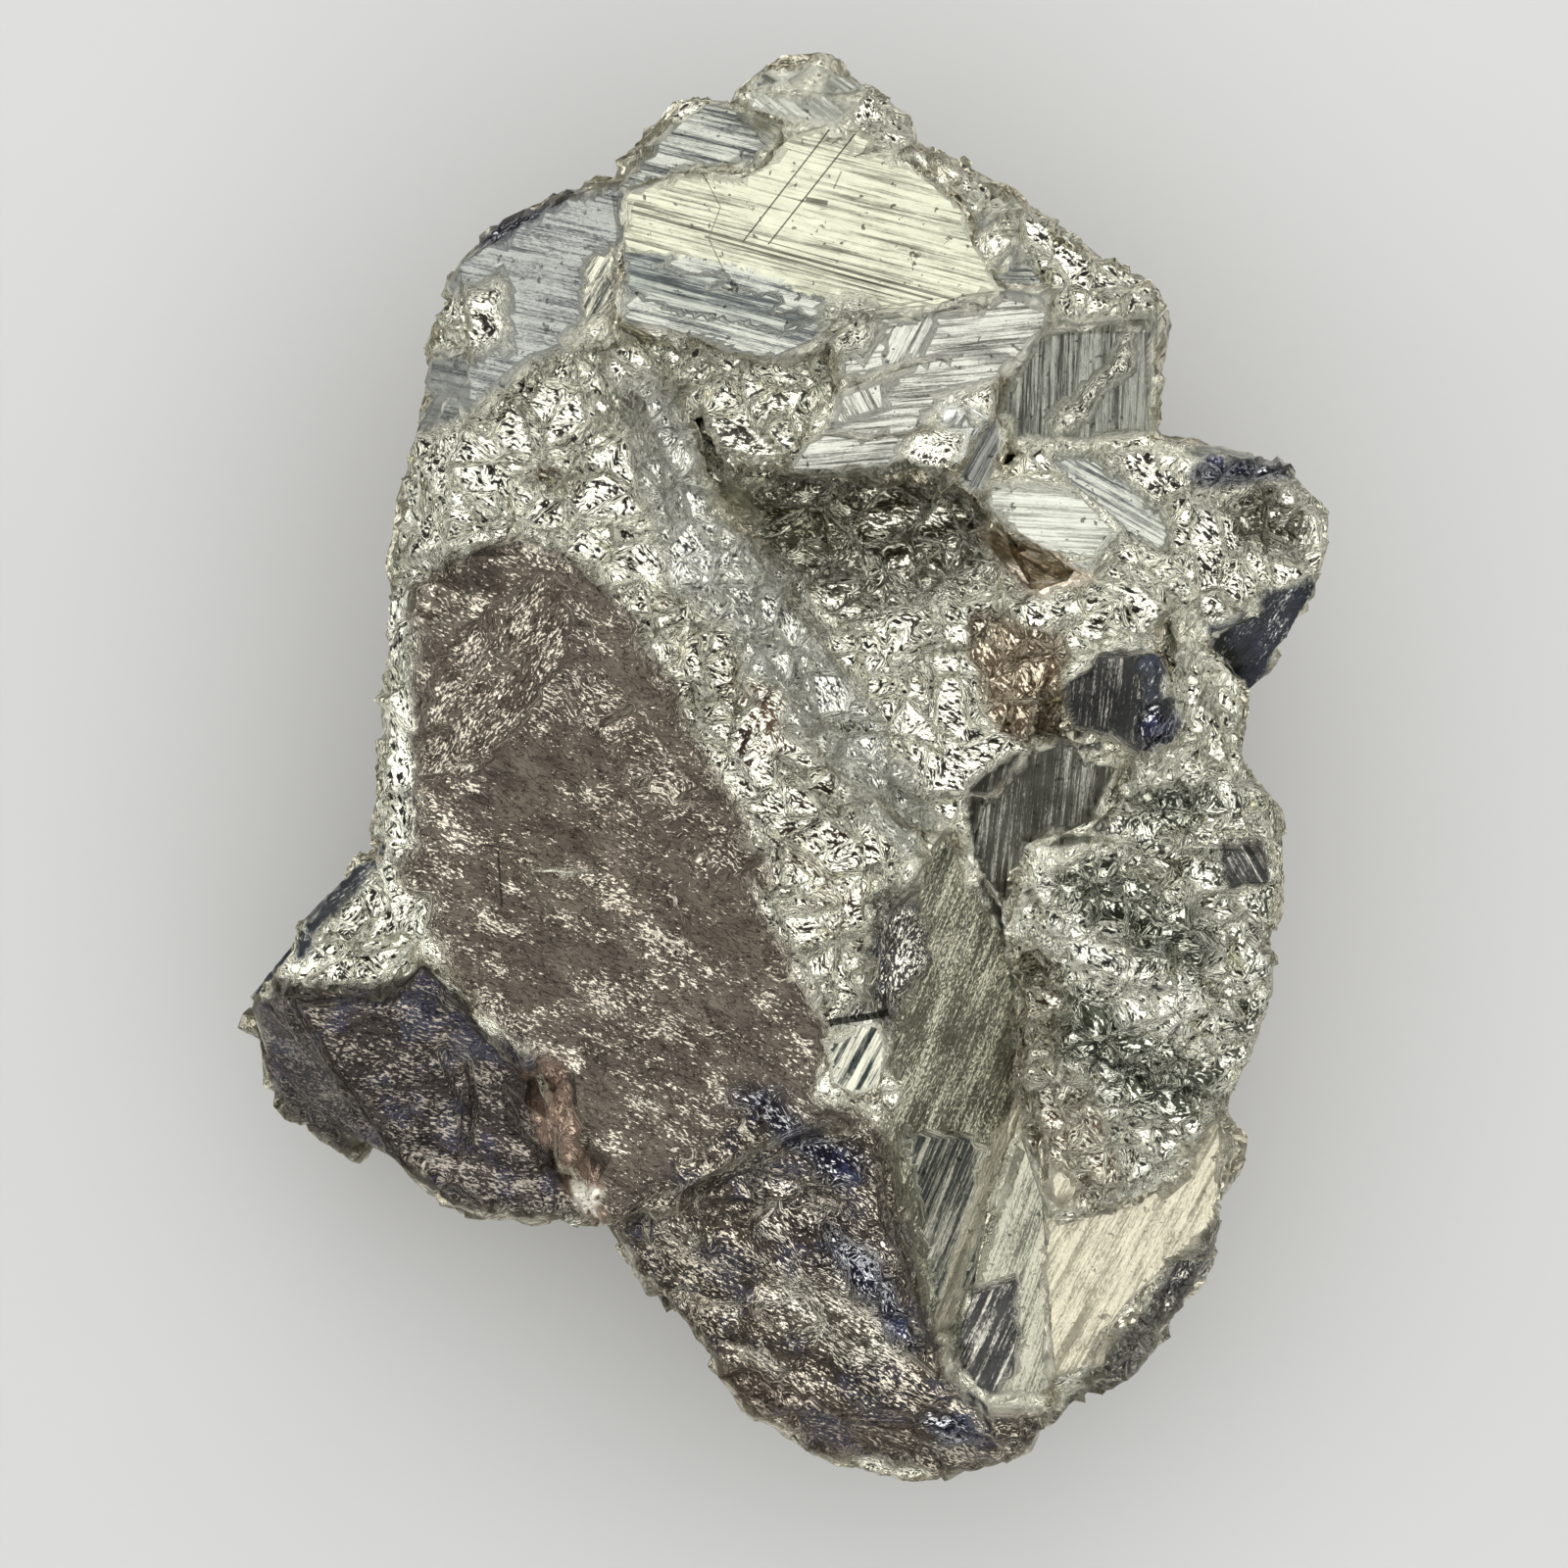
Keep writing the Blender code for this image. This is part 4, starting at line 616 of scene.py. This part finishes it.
def zones_at(places, on_top, upward, flat):
    """The number of the zone at each point. Broken patches have ragged outlines, faces nearly clean ones."""
    ragged = [soft_noise(places, 1.3, salt) + 0.6 * soft_noise(places, 0.45, salt + 1) for salt in (11, 13)]
    x, y = places[:, 0] - PLAN_SHIFT[0], places[:, 1] - PLAN_SHIFT[1]
    zone = np.where(upward, CRUMB, np.where(flat > 0.5, CUBE_SIDE, BROKEN_SIDE))
    for index, one in enumerate(ZONES, len(SIDES)):
        wander = WANDER[0] if FINISHES[one.finish].relief < CLEAN_BELOW else WANDER[1]
        zone[on_top & inside(one.outline, x + wander * ragged[0], y + wander * ragged[1])] = index
    return zone


def with_edges(zone, facing, flat):
    """Turns the chamfers of the smooth faces to crumbs."""
    relief = np.array([FINISHES[one.finish].relief for one in LOOKS])
    result = zone.copy()
    for index in range(len(SIDES), len(SIDES) + len(ZONES)):
        here = zone == index
        if relief[index] < SMOOTH_BELOW and here.sum() > FEWEST:
            main = np.median(facing[here], axis=0)
            main /= np.linalg.norm(main)
            result[here & (facing @ main < EDGE_TURN) & (flat < 0.7)] = CRUMB
    return result


def spread(values, faces, count, soft, rounds):
    """Blends what neighbouring vertices hold, where soft is 1."""
    for _ in range(rounds):
        middle = values[faces].mean(1)
        values = values + soft[:, None] * (to_vertices(middle, faces, count) - values)
    return values


def ways_across(zone, facing):
    """The way across the striations: upright on the sides, by the zone's angle on the crystal side."""
    around = np.radians(np.array([one.angle for one in LOOKS])[zone] + 90.0)
    across = np.stack([np.cos(around), np.sin(around), np.zeros(len(zone))], 1)
    upright = np.cross(np.cross(facing, LAYERING), facing)
    side = zone < len(SIDES)
    across[side] = upright[side]
    across -= facing * (across * facing).sum(1)[:, None]
    for index, one in enumerate(LOOKS):
        if index >= len(SIDES) and FINISHES[one.finish].relief < EVEN_BELOW:
            across[zone == index] = across[zone == index].sum(0)
    across /= np.maximum(np.linalg.norm(across, axis=1)[:, None], 1e-6)
    across[zone == BROKEN_SIDE] = 0.0  # broken sides aren't drawn out any way
    return across


def fine_relief(places, zone, across, lines, relief, flat):
    """Height in mm: creases drawn out along a zone's way, facets on the sides, ledges where striated."""
    run = (places * across).sum(1)
    drawn = places + across * (run * 0.8)[:, None]
    crumpled = relief * np.where(relief < EASED_BELOW, 1.0 - EASED * flat, 1.0)
    # Each sum has a height in mm, a size in mm and a salt for its random draws.
    folded = 0.26 * ridges(drawn, 2.8, 20) + 0.16 * ridges(drawn, 1.4, 30)
    folded += 0.07 * soft_noise(drawn, 0.7, 40)
    chipped = 0.62 * facets(places, 4.2, 70) + 0.34 * facets(places, 2.1, 80)
    raised = crumpled * np.where(zone < len(SIDES), chipped, folded)
    ledge = np.stack([run / LEDGE_WIDTH, zone * 3.7, places.sum(1) * 0.02], 1)
    return raised + lines * LEDGE_HEIGHT * soft_noise(ledge, 1.0, 50)


def dress(source):
    """The skin of the specimen with its fine relief and the attributes that its material reads."""
    places, faces = packed_triangles(source)
    plane_area, plane_normal, face_normal = planes_of(places, faces)
    flat_face = smooth_between(*FLAT_AREA, plane_area)
    middle = places[faces].mean(1)
    top_face = (face_normal[:, 2] > RISES[0]) & (middle[:, 2] > CRYSTAL_SIDE)
    limit = np.where(top_face, np.where(flat_face > 0.5, FLAT_STEP, FRONT_STEP), BACK_STEP)
    limit[middle[:, 2] < ON_BASE] = BASE_STEP
    places, faces, parent = divided(places, faces, np.arange(len(faces)), limit)
    count = len(places)

    normals = vertex_normals(places, faces)
    flat = to_vertices(flat_face[parent][:, None], faces, count)[:, 0]
    facing = to_vertices(plane_normal[parent], faces, count)
    facing /= np.maximum(np.linalg.norm(facing, axis=1)[:, None], 1e-9)
    on_top = (normals[:, 2] > RISES[1]) & (places[:, 2] > CRYSTAL_SIDE)
    upward = on_top & (normals[:, 2] > UPWARD)
    zone = with_edges(zones_at(places, on_top, upward, flat), facing, flat)
    table = np.array([FINISHES[one.finish].row() for one in LOOKS])[zone]
    soft = (table[:, LINES] < 0.3).astype(float) * (table[:, STONE] < 0.5)
    table = spread(table, faces, count, soft * BLENDING, BLENDING_ROUNDS)
    lines, relief = table[:, LINES], table[:, RELIEF]

    across = ways_across(zone, facing)
    raised = fine_relief(places, zone, across, lines, relief, flat)
    raised[places[:, 2] < ON_BASE] = 0.0
    places = places + normals * raised[:, None]
    return skin_object(places, faces, table, across)


def skin_object(places, faces, table, across):
    """The skin as an object, with smooth planes, sharp edges and what the material reads at each vertex."""
    count = len(places)
    mesh = bpy.data.meshes.new("pyrite_skin")
    mesh.vertices.add(count)
    mesh.vertices.foreach_set("co", (places * MM).ravel())
    mesh.loops.add(len(faces) * 3)
    mesh.loops.foreach_set("vertex_index", faces.ravel())
    mesh.polygons.add(len(faces))
    mesh.polygons.foreach_set("loop_start", np.arange(0, len(faces) * 3, 3))
    mesh.polygons.foreach_set("loop_total", np.full(len(faces), 3))
    mesh.polygons.foreach_set("use_smooth", np.ones(len(faces), bool))
    mesh.update(calc_edges=True)
    mesh.set_sharp_from_angle(angle=math.radians(SHARP))
    for name, column in COLOUR_COLUMNS.items():
        add_attribute(mesh, name, "FLOAT_COLOR", table[:, column])
    add_attribute(mesh, "blue_violet", "FLOAT", table[:, BLUE_VIOLET])
    add_attribute(mesh, "lift", "FLOAT", table[:, LIFT])
    add_attribute(mesh, "across", "FLOAT_VECTOR", across)
    skin = bpy.data.objects.new("pyrite_skin", mesh)
    bpy.context.scene.collection.objects.link(skin)
    return skin


def add_attribute(mesh, name, kind, values):
    """Gives each vertex a value that the material reads by name."""
    field_name = {"FLOAT_COLOR": "color", "FLOAT_VECTOR": "vector", "FLOAT": "value"}[kind]
    attribute = mesh.attributes.new(name, kind, "POINT")
    attribute.data.foreach_set(field_name, values.astype(np.float32).ravel())


class Graph:
    """Short ways to add and join shader nodes."""

    def __init__(self, material):
        """Takes over a new material's nodes."""
        material.use_nodes = True
        self.tree = material.node_tree
        self.shader = self.tree.nodes["Principled BSDF"]

    def node(self, kind, settings=None, **inputs):
        """A node with its settings and inputs. An input named _1 is the one at that place."""
        made = self.tree.nodes.new(kind)
        for name, value in (settings or {}).items():
            setattr(made, name, value)
        for name, value in inputs.items():
            key = int(name[1:]) if name[0] == "_" else name.replace("_", " ")
            self.put(made.inputs[key], value)
        return made

    def put(self, socket, value):
        """Links a socket to an output, or sets its number or colour."""
        if isinstance(value, bpy.types.NodeSocket):
            self.tree.links.new(value, socket)
        else:
            socket.default_value = value

    def math(self, operation, a, b=0.0, clamp=False):
        """A sum on numbers."""
        settings = {"operation": operation, "use_clamp": clamp}
        return self.node("ShaderNodeMath", settings, _0=a, _1=b).outputs[0]

    def plus(self, a, b, clamp=False):
        """a + b, kept from 0 to 1 where clamped."""
        return self.math("ADD", a, b, clamp=clamp)

    def minus(self, a, b, clamp=False):
        """a - b, kept from 0 to 1 where clamped."""
        return self.math("SUBTRACT", a, b, clamp=clamp)

    def times(self, a, b):
        """a * b."""
        return self.math("MULTIPLY", a, b)

    def vector(self, operation, a, b=(0, 0, 0), scale=None):
        """A sum on vectors or colours."""
        made = self.node("ShaderNodeVectorMath", {"operation": operation}, _0=a, _1=b)
        if scale is not None:
            self.put(made.inputs["Scale"], scale)
        return made.outputs["Value" if operation == "DOT_PRODUCT" else "Vector"]

    def noise(self, where, scale, detail, rough, twist=0.0, colour=False):
        """Noise from 0 to 1 whose lumps are about 1 / scale across."""
        made = self.node(
            "ShaderNodeTexNoise", Vector=where, Scale=scale, Detail=detail, Roughness=rough, Distortion=twist
        )
        return made.outputs["Color" if colour else "Fac"]

    def attribute(self, name, output="Color"):
        """What the skin holds under a name."""
        return self.node("ShaderNodeAttribute", {"attribute_name": name}).outputs[output]

    def blend(self, share, a, b):
        """A number between a and b."""
        return self.node("ShaderNodeMix", {"data_type": "FLOAT"}, _0=share, _2=a, _3=b).outputs[0]

    def mix(self, share, a, b):
        """A colour between a and b."""
        return self.node("ShaderNodeMix", {"data_type": "RGBA"}, _0=share, _6=a, _7=b).outputs[2]

    def scratch(self, mm, start, end, width):
        """1 on a straight scratch between two places in plan, above the lower crystals."""
        x, y, z = self.node("ShaderNodeSeparateXYZ", _0=mm).outputs
        x = self.minus(x, start[0] + PLAN_SHIFT[0])
        y = self.minus(y, start[1] + PLAN_SHIFT[1])
        length = math.dist(start, end)
        way = ((end[0] - start[0]) / length, (end[1] - start[1]) / length)
        along = self.plus(self.times(x, way[0]), self.times(y, way[1]))
        aside = self.minus(self.times(x, way[1]), self.times(y, way[0]))
        near = self.math("LESS_THAN", self.math("ABSOLUTE", aside), width / 2)
        off_middle = self.math("ABSOLUTE", self.minus(along, length / 2))
        within = self.math("LESS_THAN", off_middle, length / 2)
        high = self.math("GREATER_THAN", z, SCRATCH_ABOVE)
        return self.times(self.times(near, within), high)

    def ramp(self, value, low, high):
        """0 up to the low value and 1 from the high one."""
        settings = {"interpolation_type": "SMOOTHSTEP"}
        return self.node("ShaderNodeMapRange", settings, _0=value, _1=low, _2=high).outputs[0]


def foil_pattern(g, mm, across, coarse, fine):
    """Creased foil, and the places it is drawn at: along the zone's way, which wanders a little."""
    sway = g.vector("SUBTRACT", g.noise(mm, *SWAY, colour=True), (0.5, 0.5, 0.5))
    swayed = g.vector("ADD", mm, g.vector("SCALE", sway, scale=SWAY_WIDTH))
    run = g.vector("DOT_PRODUCT", swayed, across)
    stretch = g.minus(LENGTH, coarse)
    drawn = g.vector("ADD", swayed, g.vector("SCALE", across, scale=g.times(run, stretch)))
    return g.noise(drawn, g.times(FOIL[0], fine), *FOIL[1:]), drawn


def stripe_pattern(g, mm, across, fine):
    """Striations: noise that changes quickly across them and hardly along them."""
    straight = g.vector("DOT_PRODUCT", mm, across)
    streak = g.vector("ADD", g.vector("SCALE", across, scale=straight), g.vector("SCALE", mm, scale=ALONG))
    return g.noise(streak, g.times(STRIPES[0], fine), *STRIPES[1:])


def bright_parts(g, pattern, drawn, share, coarse, lines):
    """1 on the bright flakes, partly painted glints, and 0 on the ground, parted by a level that wanders with
    the clouds.
    """
    cloud = g.noise(drawn, *CLOUDS)
    level = g.minus(LEVEL, g.times(share, LEVEL_RANGE))
    sparse = g.minus(1.0, share)
    clump = g.plus(LEAST_CLUMP, g.times(g.times(sparse, sparse), SPARSE_CLUMP))
    clump = g.plus(clump, g.times(g.math("POWER", coarse, 3.0), COARSE_CLUMP))
    clump = g.blend(lines, clump, STRIPED_CLUMP)
    level = g.plus(level, g.times(g.minus(0.5, cloud), clump))
    softness = g.blend(lines, *SOFTNESS)
    return g.plus(g.math("DIVIDE", g.minus(pattern, level), softness), 0.5, clamp=True)


def varied_ground(g, mm, ground, blue_violet):
    """The ground, darker in some places than in others at random, with patches of blue and violet that are
    partly painted reflection of blue light and partly tarnish.
    """
    shade = g.plus(g.times(g.noise(mm, *SHADES), SHADE_RANGE), LEAST_SHADE)
    # Patches of blue and violet: partly painted reflection of blue light, partly tarnish.
    patch = g.times(g.ramp(g.noise(mm, *PATCHES), *PATCH_EDGE), blue_violet)
    return g.mix(patch, g.vector("SCALE", ground, scale=shade), g.mix(g.noise(mm, *HUES), *BLUE_AND_VIOLET))


def crease_shade_and_marks(g, mm, drawn, lines):
    """Painted shade in hair-thin creases that wind through the foil, with dark pits in the cube faces and
    scratches.
    """
    fold = g.math("ABSOLUTE", g.minus(g.noise(drawn, *CREASES), 0.5))
    creased = g.minus(0.95, lines, clamp=True)
    # Painted shade along the creases, where they wind through the foil away from the striations.
    crease_shade = g.times(g.minus(1.0, g.ramp(fold, *CREASE_EDGE)), creased)
    pits = g.times(g.ramp(g.noise(mm, *PITS), *PIT_EDGE), lines)
    marks = g.math("MAXIMUM", g.times(crease_shade, CREASE_SHADE), g.times(pits, PIT_DARK))
    for start, end, width, dark in SCRATCHES:
        marks = g.math("MAXIMUM", marks, g.times(g.scratch(mm, start, end, width), dark))
    return marks


def leaning_normal(g, height, bump, lines, way):
    """Every flake and stripe stands a little proud, each tiny crystal is turned, some looks lean upwards."""
    raised = g.node("ShaderNodeBump", Height=height, Strength=1.0, Distance=BUMP).outputs["Normal"]
    turn = g.times(g.times(bump, g.minus(1.0, lines)), TURN)
    leaning = g.vector("SCALE", (0.0, 0.0, 1.0), scale=g.attribute("lift", "Fac"))
    facing = g.vector("ADD", g.vector("ADD", raised, leaning), g.vector("SCALE", way, scale=turn))
    return g.vector("NORMALIZE", facing)


def pyrite_material():
    """Bright flakes or straight stripes over a darker ground, each turning the light its own way; their
    contrast in colour is partly painted glints and painted dark reflection.
    """
    material = bpy.data.materials.new("pyrite_look")
    g = Graph(material)
    mm = g.vector("SCALE", g.node("ShaderNodeTexCoord").outputs["Object"], scale=1.0 / MM)
    tint, share = g.attribute("tint"), g.attribute("tint", "Alpha")
    ground, lines = g.attribute("ground"), g.attribute("ground", "Alpha")
    rough, bump, coarse = g.node("ShaderNodeSeparateColor", _0=g.attribute("look")).outputs[:3]
    stone, blue_violet = g.attribute("look", "Alpha"), g.attribute("blue_violet", "Fac")
    across = g.attribute("across", "Vector")

    fine = g.math("POWER", COARSER, coarse)
    foil, drawn = foil_pattern(g, mm, across, coarse, fine)
    stripes = stripe_pattern(g, mm, across, fine)

    # Tiny crystals, each a little brighter or darker than the next and turned its own way.
    small = g.times(CRYSTALS, fine)
    cells = g.node("ShaderNodeTexVoronoi", Vector=drawn, Scale=small, Randomness=1.0)
    way = g.vector("SUBTRACT", cells.outputs["Color"], (0.5, 0.5, 0.5))
    brighter = g.node("ShaderNodeSeparateXYZ", _0=way).outputs[0]
    chip = g.times(brighter, g.times(bump, CHIPS))
    pattern = g.blend(lines, g.plus(foil, chip), g.blend(FOIL_IN_STRIPES, stripes, foil))

    bright = bright_parts(g, pattern, drawn, share, coarse, lines)
    colour = g.mix(bright, varied_ground(g, mm, ground, blue_violet), tint)
    wear_and_crease_shade = g.plus(g.times(g.noise(drawn, *WEAR), WEAR_RANGE), LEAST_WEAR)
    # The painted shade of the creases darkens the colour, together with the pits and scratches.
    wear_and_crease_shade = g.times(wear_and_crease_shade, g.minus(1.0, crease_shade_and_marks(g, mm, drawn, lines)))
    g.put(g.shader.inputs["Base Color"], g.vector("SCALE", colour, scale=wear_and_crease_shade))
    g.put(g.shader.inputs["Metallic"], g.minus(1.0, stone, clamp=True))
    dull = g.times(g.minus(0.5, bright), DULLER)
    g.put(g.shader.inputs["Roughness"], g.plus(rough, dull, clamp=True))
    height = g.times(g.plus(pattern, g.times(foil, FOIL_IN_HEIGHT)), bump)
    g.put(g.shader.inputs["Normal"], leaning_normal(g, height, bump, lines, way))
    return material


def add_floor():
    """A plain pale floor."""
    corners = [(x * FLOOR_HALF, y * FLOOR_HALF, 0) for x, y in ((-1, -1), (1, -1), (1, 1), (-1, 1))]
    mesh = bpy.data.meshes.new("floor")
    mesh.from_pydata(corners, [], [(0, 1, 2, 3)])
    floor = bpy.data.objects.new("floor", mesh)
    paint = bpy.data.materials.new("floor_paint")
    paint.use_nodes = True
    shader = paint.node_tree.nodes["Principled BSDF"]
    shader.inputs["Base Color"].default_value = (*FLOOR_PAINT, 1.0)
    shader.inputs["Roughness"].default_value = 0.9
    mesh.materials.append(paint)
    bpy.context.scene.collection.objects.link(floor)


def add_softbox(name, place, side, radiance):
    """A square softbox of even radiance that faces the specimen and isn't seen itself."""
    light = bpy.data.lights.new(name, "AREA")
    light.shape = "SQUARE"
    light.size = side
    light.energy = radiance * math.pi * side * side
    box = bpy.data.objects.new(name, light)
    box.location = place
    box.rotation_euler = (Vector((0.0, 0.0, LIT_HEIGHT)) - Vector(place)).to_track_quat("-Z", "Y").to_euler()
    box.visible_camera = False
    bpy.context.scene.collection.objects.link(box)


def add_world():
    """A pale studio: brighter overhead than at the horizon."""
    world = bpy.data.worlds.new("studio")
    bpy.context.scene.world = world
    world.use_nodes = True
    tree = world.node_tree
    way = tree.nodes.new("ShaderNodeSeparateXYZ")
    tree.links.new(tree.nodes.new("ShaderNodeTexCoord").outputs["Generated"], way.inputs[0])
    ramp = tree.nodes.new("ShaderNodeMapRange")
    ramp.interpolation_type = "SMOOTHSTEP"
    for name, value in (("From Min", 0.05), ("From Max", 0.95), ("To Min", WORLD[0]), ("To Max", WORLD[1])):
        ramp.inputs[name].default_value = value
    tree.links.new(way.outputs["Z"], ramp.inputs["Value"])
    background = tree.nodes["Background"]
    background.inputs["Color"].default_value = (1.0, 1.0, 1.0, 1.0)
    tree.links.new(ramp.outputs[0], background.inputs["Strength"])


def add_camera():
    """Looks straight down on the crystal side, with the summit up."""
    lens = bpy.data.cameras.new("camera")
    lens.sensor_width = SENSOR
    lens.lens = SENSOR * CAMERA_DISTANCE / FIELD
    camera = bpy.data.objects.new("camera", lens)
    camera.location = (PLAN_SHIFT[0] * MM, PLAN_SHIFT[1] * MM, CAMERA_DISTANCE + FACE_HEIGHT)
    bpy.context.scene.collection.objects.link(camera)
    bpy.context.scene.camera = camera


def main():
    """Dresses the specimen and lights it."""
    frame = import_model()
    skin = dress(frame["nodes"]["pyrite"])
    skin.data.materials.append(pyrite_material())
    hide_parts("pyrite")
    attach(skin, "root")
    add_floor()
    add_world()
    for name, place, side, radiance in SOFTBOXES:
        add_softbox(name, place, side, radiance)
    add_camera()
    bpy.context.scene.view_settings.view_transform = "Standard"
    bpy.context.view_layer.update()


main()
